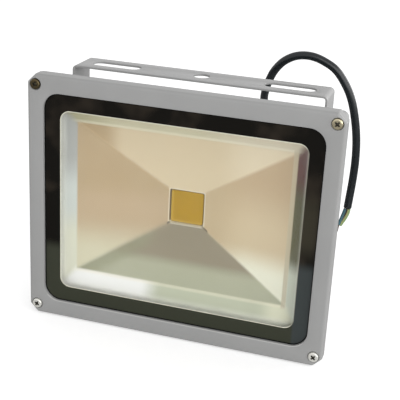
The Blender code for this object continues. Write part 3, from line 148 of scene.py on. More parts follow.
class Nodes:
    """Short ways to add and join shader nodes in one tree."""

    MIX_INPUTS = (0, 6, 7)
    MIX_RESULT = 2

    def __init__(self, tree: bpy.types.NodeTree) -> None:
        """Keep the tree that the nodes go into."""
        self.tree = tree

    def add(self, kind: str, **settings: object) -> bpy.types.Node:
        """Add a node and set its properties.

        Args:
            kind: Blender's name for the node, without its ShaderNode prefix.
            settings: Properties of the node, by name.

        Returns:
            The new node.
        """
        node = self.tree.nodes.new("ShaderNode" + kind)
        for name, value in settings.items():
            setattr(node, name, value)
        return node

    def feed(self, socket: Socket, value: object) -> None:
        """Link an input to another socket, or give it a value.

        Args:
            socket: The input.
            value: A socket or a plain value.
        """
        if isinstance(value, Socket):
            self.tree.links.new(value, socket)
        else:
            socket.default_value = value

    def set(self, node: bpy.types.Node, **sockets: object) -> None:
        """Give a node's inputs values or links, by socket name with underscores for spaces."""
        for name, value in sockets.items():
            self.feed(node.inputs[name.replace("_", " ")], value)

    def place(self) -> Socket:
        """Return the Object coordinates."""
        return self.add("TexCoord").outputs["Object"]

    def spot(self) -> tuple[Socket, Socket, Socket]:
        """Find where a point lies.

        Returns:
            The Object coordinates, and the distances to the right of and above the middle.
        """
        place = self.place()
        split = self.add("SeparateXYZ")
        self.set(split, Vector=place)
        return place, split.outputs["X"], self.math("SUBTRACT", split.outputs["Z"], MIDDLE_Z)

    def math(self, operation: str, *values: object, clamp: bool = False) -> Socket:
        """Combine numbers or sockets with one Math node.

        Args:
            operation: The Math node's operation.
            values: Up to three numbers or sockets.
            clamp: True to keep the result from 0 to 1.

        Returns:
            The result's socket.
        """
        node = self.add("Math", operation=operation, use_clamp=clamp)
        for socket, value in zip(node.inputs, values):
            self.feed(socket, value)
        return node.outputs[0]

    def share(self, reach: Socket, start: float, run: float) -> Socket:
        """Return how far a distance has gone from a start, as a share of a run."""
        return self.math("DIVIDE", self.math("SUBTRACT", reach, start), run)

    def ramp(self, value: Socket, low: float, high: float) -> Socket:
        """Make a smooth mask.

        Args:
            value: What the mask depends on.
            low: Value at which the mask is 0.
            high: Value at which it is 1, which may be the lower one.

        Returns:
            The mask's socket.
        """
        node = self.add("MapRange", interpolation_type="SMOOTHSTEP")
        self.set(node, Value=value, From_Min=low, From_Max=high)
        return node.outputs["Result"]

    def band(self, value: Socket, *stops: float) -> Socket:
        """Return the mask of a band that rises over two stops and falls over two more."""
        return self.math("MULTIPLY", self.ramp(value, stops[0], stops[1]),
                         self.ramp(value, stops[3], stops[2]))

    def mix(self, factor: object, first: object, second: object) -> Socket:
        """Mix two colours.

        Args:
            factor: How much of the second colour shows.
            first: A colour or a socket.
            second: A colour or a socket.

        Returns:
            The mixed colour's socket.
        """
        node = self.add("Mix", data_type="RGBA")
        for index, value in zip(self.MIX_INPUTS, (factor, first, second)):
            self.feed(node.inputs[index], (*value, 1.0) if isinstance(value, tuple) else value)
        return node.outputs[self.MIX_RESULT]

    def cover(self, base: object, over: object, *shares: object) -> Socket:
        """Lay one colour over another.

        Args:
            base: The colour below, or its socket.
            over: The colour above, or its socket.
            shares: Masks and numbers whose product says how much of it shows.

        Returns:
            The mixed colour's socket.
        """
        factor = shares[0]
        for share in shares[1:]:
            factor = self.math("MULTIPLY", factor, share)
        return self.mix(factor, base, over)

    def noise(self, vector: Socket, scale: Socket, detail: float, roughness: float) -> Socket:
        """Add a noise pattern.

        Args:
            vector: The coordinates that it reads.
            scale: Its scale per metre.
            detail: Its number of finer layers.
            roughness: How strong the finer layers are.

        Returns:
            The pattern's socket.
        """
        node = self.add("TexNoise")
        self.set(node, Vector=vector, Scale=scale, Detail=detail, Roughness=roughness)
        return node.outputs["Fac"]

    def clear_where(self, shader: bpy.types.Node, mask: Socket) -> None:
        """Finish a material that is clear in part.

        Args:
            shader: What shows where it isn't clear.
            mask: 1 where it is clear.
        """
        clear = self.add("BsdfTransparent")
        both = self.add("MixShader")
        for socket, value in zip(both.inputs, (mask, shader.outputs[0], clear.outputs[0])):
            self.feed(socket, value)
        self.feed(self.tree.nodes["Material Output"].inputs["Surface"], both.outputs[0])


class Effects:
    """Shader node groups that several finishes share, each built once."""

    GRAIN_SCALE = 600.0
    BROAD_SCALE = 0.3
    BROAD_SHARE = 0.6
    CLOUD_SCALE = 14.0
    LINE_SCALE = 900.0
    LINE_STRETCH = 0.05
    FINE_MASK = (0.35, 0.65)
    CLOUD_MASK = (0.3, 0.7)

    def __init__(self) -> None:
        """Build the groups."""
        self.grain = self._grain()
        self.drift = self._drift()
        self.brushing = self._brushing()

    @staticmethod
    def _group(name: str, values: dict[str, float],
               results: Sequence[str]) -> tuple[Nodes, dict, dict]:
        """Start a node group that reads coordinates and numbers and gives numbers.

        Args:
            name: The group's name.
            values: Default of each number that it reads, by name.
            results: Names of the numbers that it gives.

        Returns:
            A helper for its nodes, its input sockets and its output sockets.
        """
        tree = bpy.data.node_groups.new(name, "ShaderNodeTree")
        tree.interface.new_socket("Vector", in_out="INPUT", socket_type="NodeSocketVector")
        for label, value in values.items():
            socket = tree.interface.new_socket(label, in_out="INPUT",
                                               socket_type="NodeSocketFloat")
            socket.default_value = value
        for label in results:
            tree.interface.new_socket(label, in_out="OUTPUT", socket_type="NodeSocketFloat")
        start = tree.nodes.new("NodeGroupInput")
        end = tree.nodes.new("NodeGroupOutput")
        return Nodes(tree), start.outputs, end.inputs

    def _grain(self) -> bpy.types.NodeTree:
        """Build a fine pebbled grain, as of paint or moulded plastic.

        Returns:
            The group, with a height and a mask.
        """
        nodes, given, out = self._group("fine_grain", {"Scale": self.GRAIN_SCALE},
                                        ("Height", "Mask"))
        fine = nodes.noise(given["Vector"], given["Scale"], detail=3.0, roughness=0.55)
        scale = nodes.math("MULTIPLY", given["Scale"], self.BROAD_SCALE)
        broad = nodes.noise(given["Vector"], scale, detail=1.0, roughness=0.4)
        height = nodes.math("MULTIPLY_ADD", broad, self.BROAD_SHARE,
                            nodes.math("MULTIPLY", fine, 1 - self.BROAD_SHARE))
        nodes.feed(out["Height"], height)
        nodes.feed(out["Mask"], nodes.ramp(fine, *self.FINE_MASK))
        return nodes.tree

    def _drift(self) -> bpy.types.NodeTree:
        """Build a slow change of tone over a surface.

        Returns:
            The group, with a mask.
        """
        nodes, given, out = self._group("tone_drift", {"Scale": self.CLOUD_SCALE}, ("Mask",))
        cloud = nodes.noise(given["Vector"], given["Scale"], detail=3.0, roughness=0.6)
        nodes.feed(out["Mask"], nodes.ramp(cloud, *self.CLOUD_MASK))
        return nodes.tree

    def _brushing(self) -> bpy.types.NodeTree:
        """Build fine lines drawn out along one axis, as of rolled or turned metal.

        Returns:
            The group, with a height and a mask.
        """
        nodes, given, out = self._group(
            "drawn_lines", {"Scale": self.LINE_SCALE, "Stretch": self.LINE_STRETCH},
            ("Height", "Mask"))
        squeeze = nodes.add("CombineXYZ")
        nodes.set(squeeze, X=given["Stretch"], Y=1.0, Z=1.0)
        drawn = nodes.add("VectorMath", operation="MULTIPLY")
        nodes.feed(drawn.inputs[0], given["Vector"])
        nodes.feed(drawn.inputs[1], squeeze.outputs[0])
        lines = nodes.noise(drawn.outputs[0], given["Scale"], detail=2.0, roughness=0.6)
        nodes.feed(out["Height"], lines)
        nodes.feed(out["Mask"], nodes.ramp(lines, *self.FINE_MASK))
        return nodes.tree

    @staticmethod
    def use(nodes: Nodes, tree: bpy.types.NodeTree, vector: Socket,
            **values: float) -> dict[str, Socket]:
        """Place a group in a material.

        Args:
            nodes: The material's nodes.
            tree: The group.
            vector: The coordinates that it reads.
            values: Its other inputs, by name.

        Returns:
            The group's output sockets by name.
        """
        node = nodes.add("Group", node_tree=tree)
        nodes.set(node, Vector=vector, **values)
        return {socket.name: socket for socket in node.outputs}

    def tone(self, nodes: Nodes, vector: Socket, scale: float) -> Socket:
        """Place the slow change of tone in a material, and return its mask."""
        return self.use(nodes, self.drift, vector, Scale=scale)["Mask"]


@dataclass(frozen=True)
class Finish:
    """What all finishes have: a name, a colour and a gloss."""

    name: str
    colour: Colour
    roughness: float = 0.5

    def start(self) -> tuple[bpy.types.Material, Nodes, bpy.types.Node]:
        """Make the material.

        Returns:
            The material, a helper for its nodes and its Principled shader.
        """
        material = bpy.data.materials.new(self.name)
        material.use_nodes = True
        material.diffuse_color = (*self.colour, 1.0)
        nodes = Nodes(material.node_tree)
        shader = material.node_tree.nodes["Principled BSDF"]
        nodes.set(shader, Base_Color=(*self.colour, 1.0), Roughness=self.roughness)
        return material, nodes, shader

    def shaded(self, amount: float) -> Colour:
        """Return the colour made lighter or darker by a share."""
        return tuple(min(1.0, part * amount) for part in self.colour)

    def drifted(self, nodes: Nodes, tone: Socket, amount: float) -> Socket:
        """Return the colour made darker and lighter by an amount, as a tone asks."""
        return nodes.mix(tone, self.shaded(1 - amount), self.shaded(1 + amount))

    def relief(self, nodes: Nodes, shader: bpy.types.Node, height: Socket, depth: float) -> None:
        """Turn a height into a normal.

        Args:
            nodes: The material's nodes.
            shader: The shader that gets the normal.
            height: A height from 0 to 1.
            depth: The real depth of the relief.
        """
        bump = nodes.add("Bump")
        nodes.set(bump, Height=height, Strength=1.0, Distance=depth)
        nodes.set(shader, Normal=bump.outputs["Normal"])

    def build(self, effects: Effects) -> bpy.types.Material:
        """Build the material.

        Args:
            effects: The shared node groups.

        Returns:
            The material.
        """
        raise NotImplementedError


@dataclass(frozen=True)
class Moulded(Finish):
    """Paint, plastic or rubber: one colour with a slow drift of tone and a fine grain."""

    drift: float = 0.05
    drift_scale: float = 14.0
    grain_scale: float = 600.0
    grain_depth: float = 0.00003
    gloss_change: float = 0.06
    specular: float = 0.5

    def build(self, effects: Effects) -> bpy.types.Material:
        """Build the material.

        Args:
            effects: The shared node groups.

        Returns:
            The material.
        """
        material, nodes, shader = self.start()
        place = nodes.place()
        tone = effects.tone(nodes, place, self.drift_scale)
        grain = effects.use(nodes, effects.grain, place, Scale=self.grain_scale)
        rough = nodes.math("MULTIPLY_ADD", grain["Mask"], self.gloss_change,
                           self.roughness - self.gloss_change / 2)
        nodes.set(shader, Base_Color=self.drifted(nodes, tone, self.drift), Roughness=rough,
                  Specular_IOR_Level=self.specular)
        self.relief(nodes, shader, grain["Height"], self.grain_depth)
        return material


@dataclass(frozen=True)
class Gel(Finish):
    """Phosphor gel in a square dam: paler towards the dam on the left, the bottom and the top."""

    # Paler colour near the dam on the left, the bottom and the top.
    thin: Colour = (0.64, 0.43, 0.08)
    pale_edge_share: float = 0.55
    half: float = 0.01225
    run: float = 0.0032
    upper_inset: float = 0.0018
    drift: float = 0.05
    drift_scale: float = 60.0
    grain_scale: float = 1500.0
    grain_depth: float = 0.00001
    specular: float = 0.1

    def build(self, effects: Effects) -> bpy.types.Material:
        """Build the material.

        Args:
            effects: The shared node groups.

        Returns:
            The material.
        """
        material, nodes, shader = self.start()
        place, x, z = nodes.spot()
        reach = nodes.math("MAXIMUM", nodes.math("MULTIPLY", x, -1.0),
                           nodes.math("MAXIMUM", nodes.math("MULTIPLY", z, -1.0),
                                      nodes.math("SUBTRACT", z, self.upper_inset)))
        edge = nodes.ramp(reach, self.half - self.run, self.half)
        colour = self.drifted(nodes, effects.tone(nodes, place, self.drift_scale), self.drift)
        colour = nodes.cover(colour, self.thin, edge, self.pale_edge_share)
        grain = effects.use(nodes, effects.grain, place, Scale=self.grain_scale)
        nodes.set(shader, Base_Color=colour, Specular_IOR_Level=self.specular)
        self.relief(nodes, shader, grain["Height"], self.grain_depth)
        return material


@dataclass(frozen=True)
class Dam(Finish):
    """Moulded ring round the gel: dark amber as painted shade, with painted light on its lower and
    right sides.
    """

    # Painted light for the lower and right sides.
    painted_light: Colour = (0.62, 0.54, 0.36)
    inner: float = 0.0119
    low_run: float = 0.0006
    right_share: float = 0.5
    drift: float = 0.1
    drift_scale: float = 60.0

    def build(self, effects: Effects) -> bpy.types.Material:
        """Build the material.

        Args:
            effects: The shared node groups.

        Returns:
            The material.
        """
        material, nodes, shader = self.start()
        place, x, z = nodes.spot()
        # Painted light on the lower side and the right half of the ring.
        low = nodes.ramp(z, self.low_run - self.inner, -self.inner)
        right = nodes.math("MULTIPLY", nodes.ramp(x, 0.0, self.inner), self.right_share)
        colour = self.drifted(nodes, effects.tone(nodes, place, self.drift_scale), self.drift)
        nodes.set(shader, Base_Color=nodes.cover(colour, self.painted_light,
                                                 nodes.math("MAXIMUM", low, right)))
        return material


@dataclass(frozen=True)
class Plated(Finish):
    """Plated or bare metal with drawn lines and a slow change of tint."""

    tint: Colour = (0.7, 0.6, 0.4)
    tint_share: float = 0.35
    drift_scale: float = 160.0
    line_scale: float = 2500.0
    stretch: float = 0.08
    line_depth: float = 0.000006
    gloss_change: float = 0.12
    metallic: float = 1.0

    def build(self, effects: Effects) -> bpy.types.Material:
        """Build the material.

        Args:
            effects: The shared node groups.

        Returns:
            The material.
        """
        material, nodes, shader = self.start()
        place = nodes.place()
        tone = effects.tone(nodes, place, self.drift_scale)
        lines = effects.use(nodes, effects.brushing, place, Scale=self.line_scale,
                            Stretch=self.stretch)
        rough = nodes.math("MULTIPLY_ADD", lines["Mask"], self.gloss_change,
                           self.roughness - self.gloss_change / 2)
        nodes.set(shader, Base_Color=nodes.cover(self.colour, self.tint, tone, self.tint_share),
                  Roughness=rough, Metallic=self.metallic)
        self.relief(nodes, shader, lines["Height"], self.line_depth)
        return material


@dataclass(frozen=True)
class Pane(Finish):
    """Clear toughened glass that lets lamps through."""

    ior: float = 1.45
    reflection: float = 0.34
    drift: float = 0.02
    drift_scale: float = 9.0

    def build(self, effects: Effects) -> bpy.types.Material:
        """Build the material.

        Args:
            effects: The shared node groups.

        Returns:
            The material.
        """
        material, nodes, shader = self.start()
        tone = effects.tone(nodes, nodes.place(), self.drift_scale)
        nodes.set(shader, Base_Color=nodes.mix(tone, self.colour, self.shaded(1 + self.drift)),
                  IOR=self.ior, Transmission_Weight=1.0, Specular_IOR_Level=self.reflection)
        nodes.clear_where(shader, nodes.add("LightPath").outputs["Is Shadow Ray"])
        return material


@dataclass(frozen=True)
class BorderPrint(Finish):
    """Black enamel on the pane, with painted reflections of a room on it.

    Its innermost edge has a pale painted highlight line, and a painted shadow lies along the
    frame's lip. A run says where something starts and where it is full.
    """

    shine: Colour = (0.022, 0.017, 0.012)
    shine_run: Run = (0.25, 0.75)
    darkest: float = 0.4
    right_run: Run = (0.088, 0.090)
    patch: Colour = (0.034, 0.030, 0.020)
    patch_middle: float = 0.010
    patch_run: Run = (0.030, 0.008)
    low: Colour = (0.039, 0.042, 0.029)
    low_run: Run = (-0.030, -0.040)
    corner: Colour = (0.042, 0.049, 0.049)
    corner_run: Run = (-0.014, -0.024)
    # Pale painted highlight line along the print's innermost edge, faded at the right.
    edge: Colour = (0.84, 0.82, 0.68)
    line: float = 0.0004
    line_blur: float = 0.2
    fade: float = 0.7
    fade_run: Run = (0.086, 0.0895)
    clear_x: float = 0.08865
    clear_z: float = 0.0676
    clear_shift: float = 0.00065
    clear_corner: float = 0.0070
    # Painted shadow along the frame's lip, laid over the print.
    gap: Colour = (0.0, 0.0, 0.0)
    lip_shadow_run: Run = (-0.0011, -0.0006)
    lip_x: float = 0.1005
    lip_z: float = 0.0799
    lip_corner: float = 0.0120
    drift_scale: float = 17.0
    gloss_change: float = 0.05
    specular: float = 0.22

    @staticmethod
    def _outside(nodes: Nodes, x: Socket, z: Socket, half_x: float, half_z: float,
                 corner: float) -> Socket:
        """Measure how far a point lies outside a rectangle with round corners.

        Args:
            nodes: The material's nodes.
            x: Distance to the right of the middle.
            z: Distance above the middle.
            half_x: Half the rectangle's width.
            half_z: Half its height.
            corner: Radius of its corners.

        Returns:
            The distance's socket.
        """
        beyond = []
        for reach, half in ((x, half_x), (z, half_z)):
            past = nodes.math("SUBTRACT", nodes.math("ABSOLUTE", reach), half - corner)
            beyond.append(nodes.math("MAXIMUM", past, 0.0))
        squares = [nodes.math("MULTIPLY", one, one) for one in beyond]
        return nodes.math("SUBTRACT", nodes.math("SQRT", nodes.math("ADD", *squares)), corner)

    def build(self, effects: Effects) -> bpy.types.Material:
        """Build the material.

        Args:
            effects: The shared node groups.

        Returns:
            The material.
        """
        material, nodes, shader = self.start()
        place, x, z = nodes.spot()
        tone = effects.tone(nodes, place, self.drift_scale)
        base = nodes.mix(nodes.ramp(tone, *self.shine_run), self.shaded(self.darkest), self.shine)
        right = nodes.ramp(x, *self.right_run)
        height = nodes.math("ABSOLUTE", nodes.math("SUBTRACT", z, self.patch_middle))
        base = nodes.cover(base, self.patch, right, nodes.ramp(height, *self.patch_run))
        base = nodes.cover(base, self.low, nodes.ramp(z, *self.low_run))
        base = nodes.cover(base, self.corner, right, nodes.ramp(z, *self.corner_run))
        # Painted highlight line round the clear window, weaker at the right.
        fade = nodes.math("MULTIPLY_ADD", nodes.ramp(x, *self.fade_run), -self.fade, 1.0)
        shifted = nodes.math("SUBTRACT", x, self.clear_shift)
        past = self._outside(nodes, shifted, z, self.clear_x, self.clear_z, self.clear_corner)
        line = nodes.ramp(past, self.line * (1 + self.line_blur), self.line * (1 - self.line_blur))
        base = nodes.cover(base, self.edge, line, fade)
        # Painted shadow along the edge of the frame's lip.
        past = self._outside(nodes, x, z, self.lip_x, self.lip_z, self.lip_corner)
        base = nodes.cover(base, self.gap, nodes.ramp(past, *self.lip_shadow_run))
        rough = nodes.math("MULTIPLY_ADD", tone, self.gloss_change, self.roughness)
        nodes.set(shader, Base_Color=base, Roughness=rough, Specular_IOR_Level=self.specular)
        return material


class Spot(NamedTuple):
    """Sockets that say where a point of the reflector lies.

    x and z are its distances to the right of and above the middle, reach_x and reach_z their
    sizes, and facet is how much nearer it lies to a side facet than to an upper or lower one.
    """

    x: Socket
    z: Socket
    reach_x: Socket
    reach_z: Socket
    facet: Socket


@dataclass(frozen=True)
class Tone:
    """Colours of one face of the reflector: at its middle and beyond two breaks.

    The breaks are given in metres from the window's middle, from where the middle colour ends
    to where the other one is full. They lie across the face, or up it where it is upright.
    """

    low: Colour
    middle: Colour
    high: Colour
    low_run: Run
    high_run: Run
    upright: bool = False

    def colour(self, nodes: Nodes, spot: Spot) -> Socket:
        """Colour the face.

        Args:
            nodes: The material's nodes.
            spot: Where a point lies.

        Returns:
            The colour's socket.
        """
        along = spot.z if self.upright else spot.x
        above = nodes.mix(nodes.ramp(along, *self.high_run), self.middle, self.high)
        return nodes.mix(nodes.ramp(along, *self.low_run), above, self.low)


@dataclass(frozen=True)
class BrightSheet(Finish):
    """Bright reflector sheet: each face has its own tones, painted as a reflection of the room,
    with painted highlights along its folds and round the hole and painted shade in places.

    Facets and rims are given in the order upper, lower, left and right. A run says where
    something starts and where it is full, and a band has a second run where it ends.
    """

    hole: float = 0.0132
    fold_x: float = 0.0805
    fold_z: float = 0.0574
    rim_x: float = 0.0108
    rim_z: float = 0.0133
    facets: tuple[Tone, ...] = (
        Tone((0.53, 0.38, 0.20), (0.75, 0.62, 0.41), (0.85, 0.73, 0.52),
             (-0.045, -0.062), (0.020, 0.050)),
        Tone((0.43, 0.44, 0.31), (0.28, 0.24, 0.16), (0.28, 0.24, 0.16),
             (-0.036, -0.046), (0.040, 0.050), True),
        Tone((0.65, 0.61, 0.43), (0.51, 0.38, 0.23), (0.45, 0.33, 0.18),
             (-0.012, -0.044), (-0.004, 0.018), True),
        Tone((0.97, 0.96, 0.78), (0.71, 0.57, 0.36), (0.56, 0.41, 0.24),
             (-0.016, -0.040), (-0.008, 0.036), True))
    rims: tuple[Tone, ...] = (
        Tone((0.43, 0.40, 0.22), (0.61, 0.57, 0.38), (0.68, 0.61, 0.45),
             (-0.040, -0.085), (0.005, 0.050)),
        Tone((1.0, 1.0, 0.97), (0.54, 0.57, 0.42), (0.80, 0.80, 0.60),
             (-0.012, -0.030), (0.060, 0.075)),
        Tone((0.71, 0.71, 0.57), (0.60, 0.64, 0.60), (0.38, 0.39, 0.37),
             (-0.005, -0.030), (0.005, 0.035), True),
        Tone((0.66, 0.70, 0.58), (0.080, 0.076, 0.010), (0.092, 0.010, 0.004),
             (-0.018, -0.034), (0.020, 0.045), True))
    middle_run: Run = (-0.001, 0.001)
    rim_run: Run = (-0.08, 0.08)
    corner_run: Run = (-0.4, 0.4)
    ridge: float = 0.05
    ridge_low_left: float = 0.09
    ridge_low_right: float = 0.04
    ridge_run: Run = (0.004, -0.004)
    # Painted highlight colour, along the upper and lower creases and round the hole's edge.
    fold: Colour = (0.94, 0.88, 0.70)
    crease_highlight_band: tuple[float, ...] = (-0.06, 0.03, 0.10, 0.20)
    crease_highlight_share: float = 0.35
    # Where the painted highlight round the hole's edge lies, and how strong it is.
    hole_edge_highlight_run: Run = (0.0009, 0.0005)
    hole_edge_highlight_share: float = 0.5
    # Painted highlight along the right fold.
    right_fold_highlight: Colour = (0.60, 0.53, 0.37)
    right_fold_highlight_band: tuple[float, ...] = (-0.0036, -0.0030, -0.0006, 0.0006)
    right_fold_highlight_end: Run = (0.25, 0.0)
    right_fold_highlight_share: float = 0.75
    # Painted light that lifts the outer part of the rims.
    outer_rim_painted_light: Colour = (1.0, 1.0, 0.90)
    outer_rim_painted_light_run: Run = (0.48, 1.05)
    outer_rim_painted_light_share: float = 0.8
    slit: Colour = (0.09, 0.07, 0.04)
    slit_length: float = 0.001
    slit_more_right: float = 0.0022
    slit_run: Run = (0.0006, 0.0)
    slit_side: Run = (0.026, 0.012)
    slit_share: float = 0.8
    # Painted shade on the right facet beside the hole.
    beside: Colour = (0.55, 0.42, 0.24)
    beside_band: tuple[float, ...] = (0.0, 0.004, 0.018, 0.050)
    beside_share: float = 0.8
    # Painted shade on the lower facet along its left ridge.
    left_ridge_painted_shade: Colour = (0.28, 0.28, 0.17)
    left_ridge_painted_shade_band: tuple[float, ...] = (-0.34, -0.12, -0.05, 0.02)
    left_ridge_painted_shade_up: Run = (-0.014, -0.024)
    left_ridge_painted_shade_across: Run = (-0.016, -0.034)
    left_ridge_painted_shade_share: float = 0.7
    drift: float = 0.05
    drift_scale: float = 22.0
    metallic: float = 0.15

    def _faces(self, nodes: Nodes, tones: Sequence[Tone], spot: Spot, sideways: Socket) -> Socket:
        """Colour four faces.

        Args:
            nodes: The material's nodes.
            tones: Their tones.
            spot: Where a point lies.
            sideways: Mask of the left and right faces.

        Returns:
            The colour's socket.
        """
        upper, lower, left, right = (tone.colour(nodes, spot) for tone in tones)
        upright = nodes.mix(nodes.ramp(spot.z, *self.middle_run), lower, upper)
        across = nodes.mix(nodes.ramp(spot.x, *self.middle_run), left, right)
        return nodes.mix(sideways, upright, across)

    def _ridges(self, nodes: Nodes, spot: Spot) -> Socket:
        """Tell side facets from the others, with soft ridges between them.

        Args:
            nodes: The material's nodes.
            spot: Where a point lies.

        Returns:
            The mask of the side facets.
        """
        left = nodes.ramp(spot.x, *self.ridge_run)
        spread = nodes.math("MULTIPLY_ADD", left, self.ridge_low_left - self.ridge_low_right,
                            self.ridge_low_right - self.ridge)
        below = nodes.ramp(spot.z, *self.ridge_run)
        width = nodes.math("MULTIPLY_ADD", below, spread, self.ridge)
        return nodes.ramp(nodes.math("DIVIDE", spot.facet, width), -1.0, 1.0)

    def _shades(self, nodes: Nodes, slopes: Socket, ridges: Socket, spot: Spot) -> Socket:
        """Paint shade on the right facet beside the hole, and on the lower one along its left
        ridge.

        Args:
            nodes: The material's nodes.
            slopes: The facets' colour so far.
            ridges: Mask of the side facets.
            spot: Where a point lies.

        Returns:
            The colour's socket.
        """
        slopes = nodes.cover(slopes, self.beside, ridges, nodes.band(spot.x, *self.beside_band),
                             self.beside_share)
        return nodes.cover(slopes, self.left_ridge_painted_shade, nodes.band(spot.facet, *self.left_ridge_painted_shade_band),
                           nodes.ramp(spot.z, *self.left_ridge_painted_shade_up),
                           nodes.ramp(spot.x, *self.left_ridge_painted_shade_across), self.left_ridge_painted_shade_share)

    def _mouth(self, nodes: Nodes, colour: Socket, spot: Spot) -> Socket:
        """Add a painted highlight round the hole's edge, and the dark slits at its lower corners.

        Args:
            nodes: The material's nodes.
            colour: The colour so far.
            spot: Where a point lies.

        Returns:
            The colour's socket.
        """
        reach = nodes.math("MAXIMUM", spot.reach_x, spot.reach_z)
        # Painted highlight round the hole's edge.
        rolled = nodes.ramp(reach, *(self.hole + stop for stop in self.hole_edge_highlight_run))
        colour = nodes.cover(colour, self.fold, rolled, self.hole_edge_highlight_share)
        length = nodes.math("MULTIPLY_ADD", nodes.ramp(spot.x, *self.middle_run),
                            self.slit_more_right, self.hole + self.slit_length)
        past = nodes.ramp(nodes.math("SUBTRACT", spot.reach_x, length), *self.slit_run)
        thin = nodes.ramp(nodes.math("ABSOLUTE", spot.facet), *self.slit_side)
        below = nodes.ramp(spot.z, *reversed(self.middle_run))
        return nodes.cover(colour, self.slit, past, thin, below, self.slit_share)

    def build(self, effects: Effects) -> bpy.types.Material:
        """Build the material.

        Args:
            effects: The shared node groups.

        Returns:
            The material.
        """
        material, nodes, shader = self.start()
        place, x, z = nodes.spot()
        reach_x, reach_z = nodes.math("ABSOLUTE", x), nodes.math("ABSOLUTE", z)
        facet = nodes.math("SUBTRACT", nodes.share(reach_x, self.hole, self.fold_x - self.hole),
                           nodes.share(reach_z, self.hole, self.fold_z - self.hole))
        spot = Spot(x, z, reach_x, reach_z, facet)
        rim_side = nodes.share(reach_x, self.fold_x, self.rim_x)
        rim_up = nodes.share(reach_z, self.fold_z, self.rim_z)
        outward = nodes.math("MAXIMUM", rim_side, rim_up)
        ridges = self._ridges(nodes, spot)
        slopes = self._faces(nodes, self.facets, spot, ridges)
        slopes = self._shades(nodes, slopes, ridges, spot)
        sideways = nodes.ramp(nodes.math("SUBTRACT", rim_side, rim_up), *self.corner_run)
        edges = self._faces(nodes, self.rims, spot, sideways)
        colour = nodes.mix(nodes.ramp(outward, *self.rim_run), slopes, edges)
        # Painted light on the outer part of the rims.
        colour = nodes.cover(colour, self.outer_rim_painted_light, nodes.ramp(outward, *self.outer_rim_painted_light_run),
                             self.outer_rim_painted_light_share)
        # Painted highlight along the upper and lower creases.
        colour = nodes.cover(colour, self.fold, nodes.band(rim_up, *self.crease_highlight_band),
                             nodes.math("SUBTRACT", 1.0, sideways), self.crease_highlight_share)
        # Painted highlight along the right fold.
        right_fold_highlight = nodes.band(x, *(self.fold_x + stop for stop in self.right_fold_highlight_band))
        colour = nodes.cover(colour, self.right_fold_highlight, right_fold_highlight, nodes.ramp(rim_up, *self.right_fold_highlight_end),
                             self.right_fold_highlight_share)
        colour = self._mouth(nodes, colour, spot)
        tone = effects.tone(nodes, place, self.drift_scale)
        colour = nodes.cover(colour, self.colour, tone, self.drift)
        nodes.set(shader, Base_Color=colour, Roughness=self.roughness, Metallic=self.metallic)
        return material


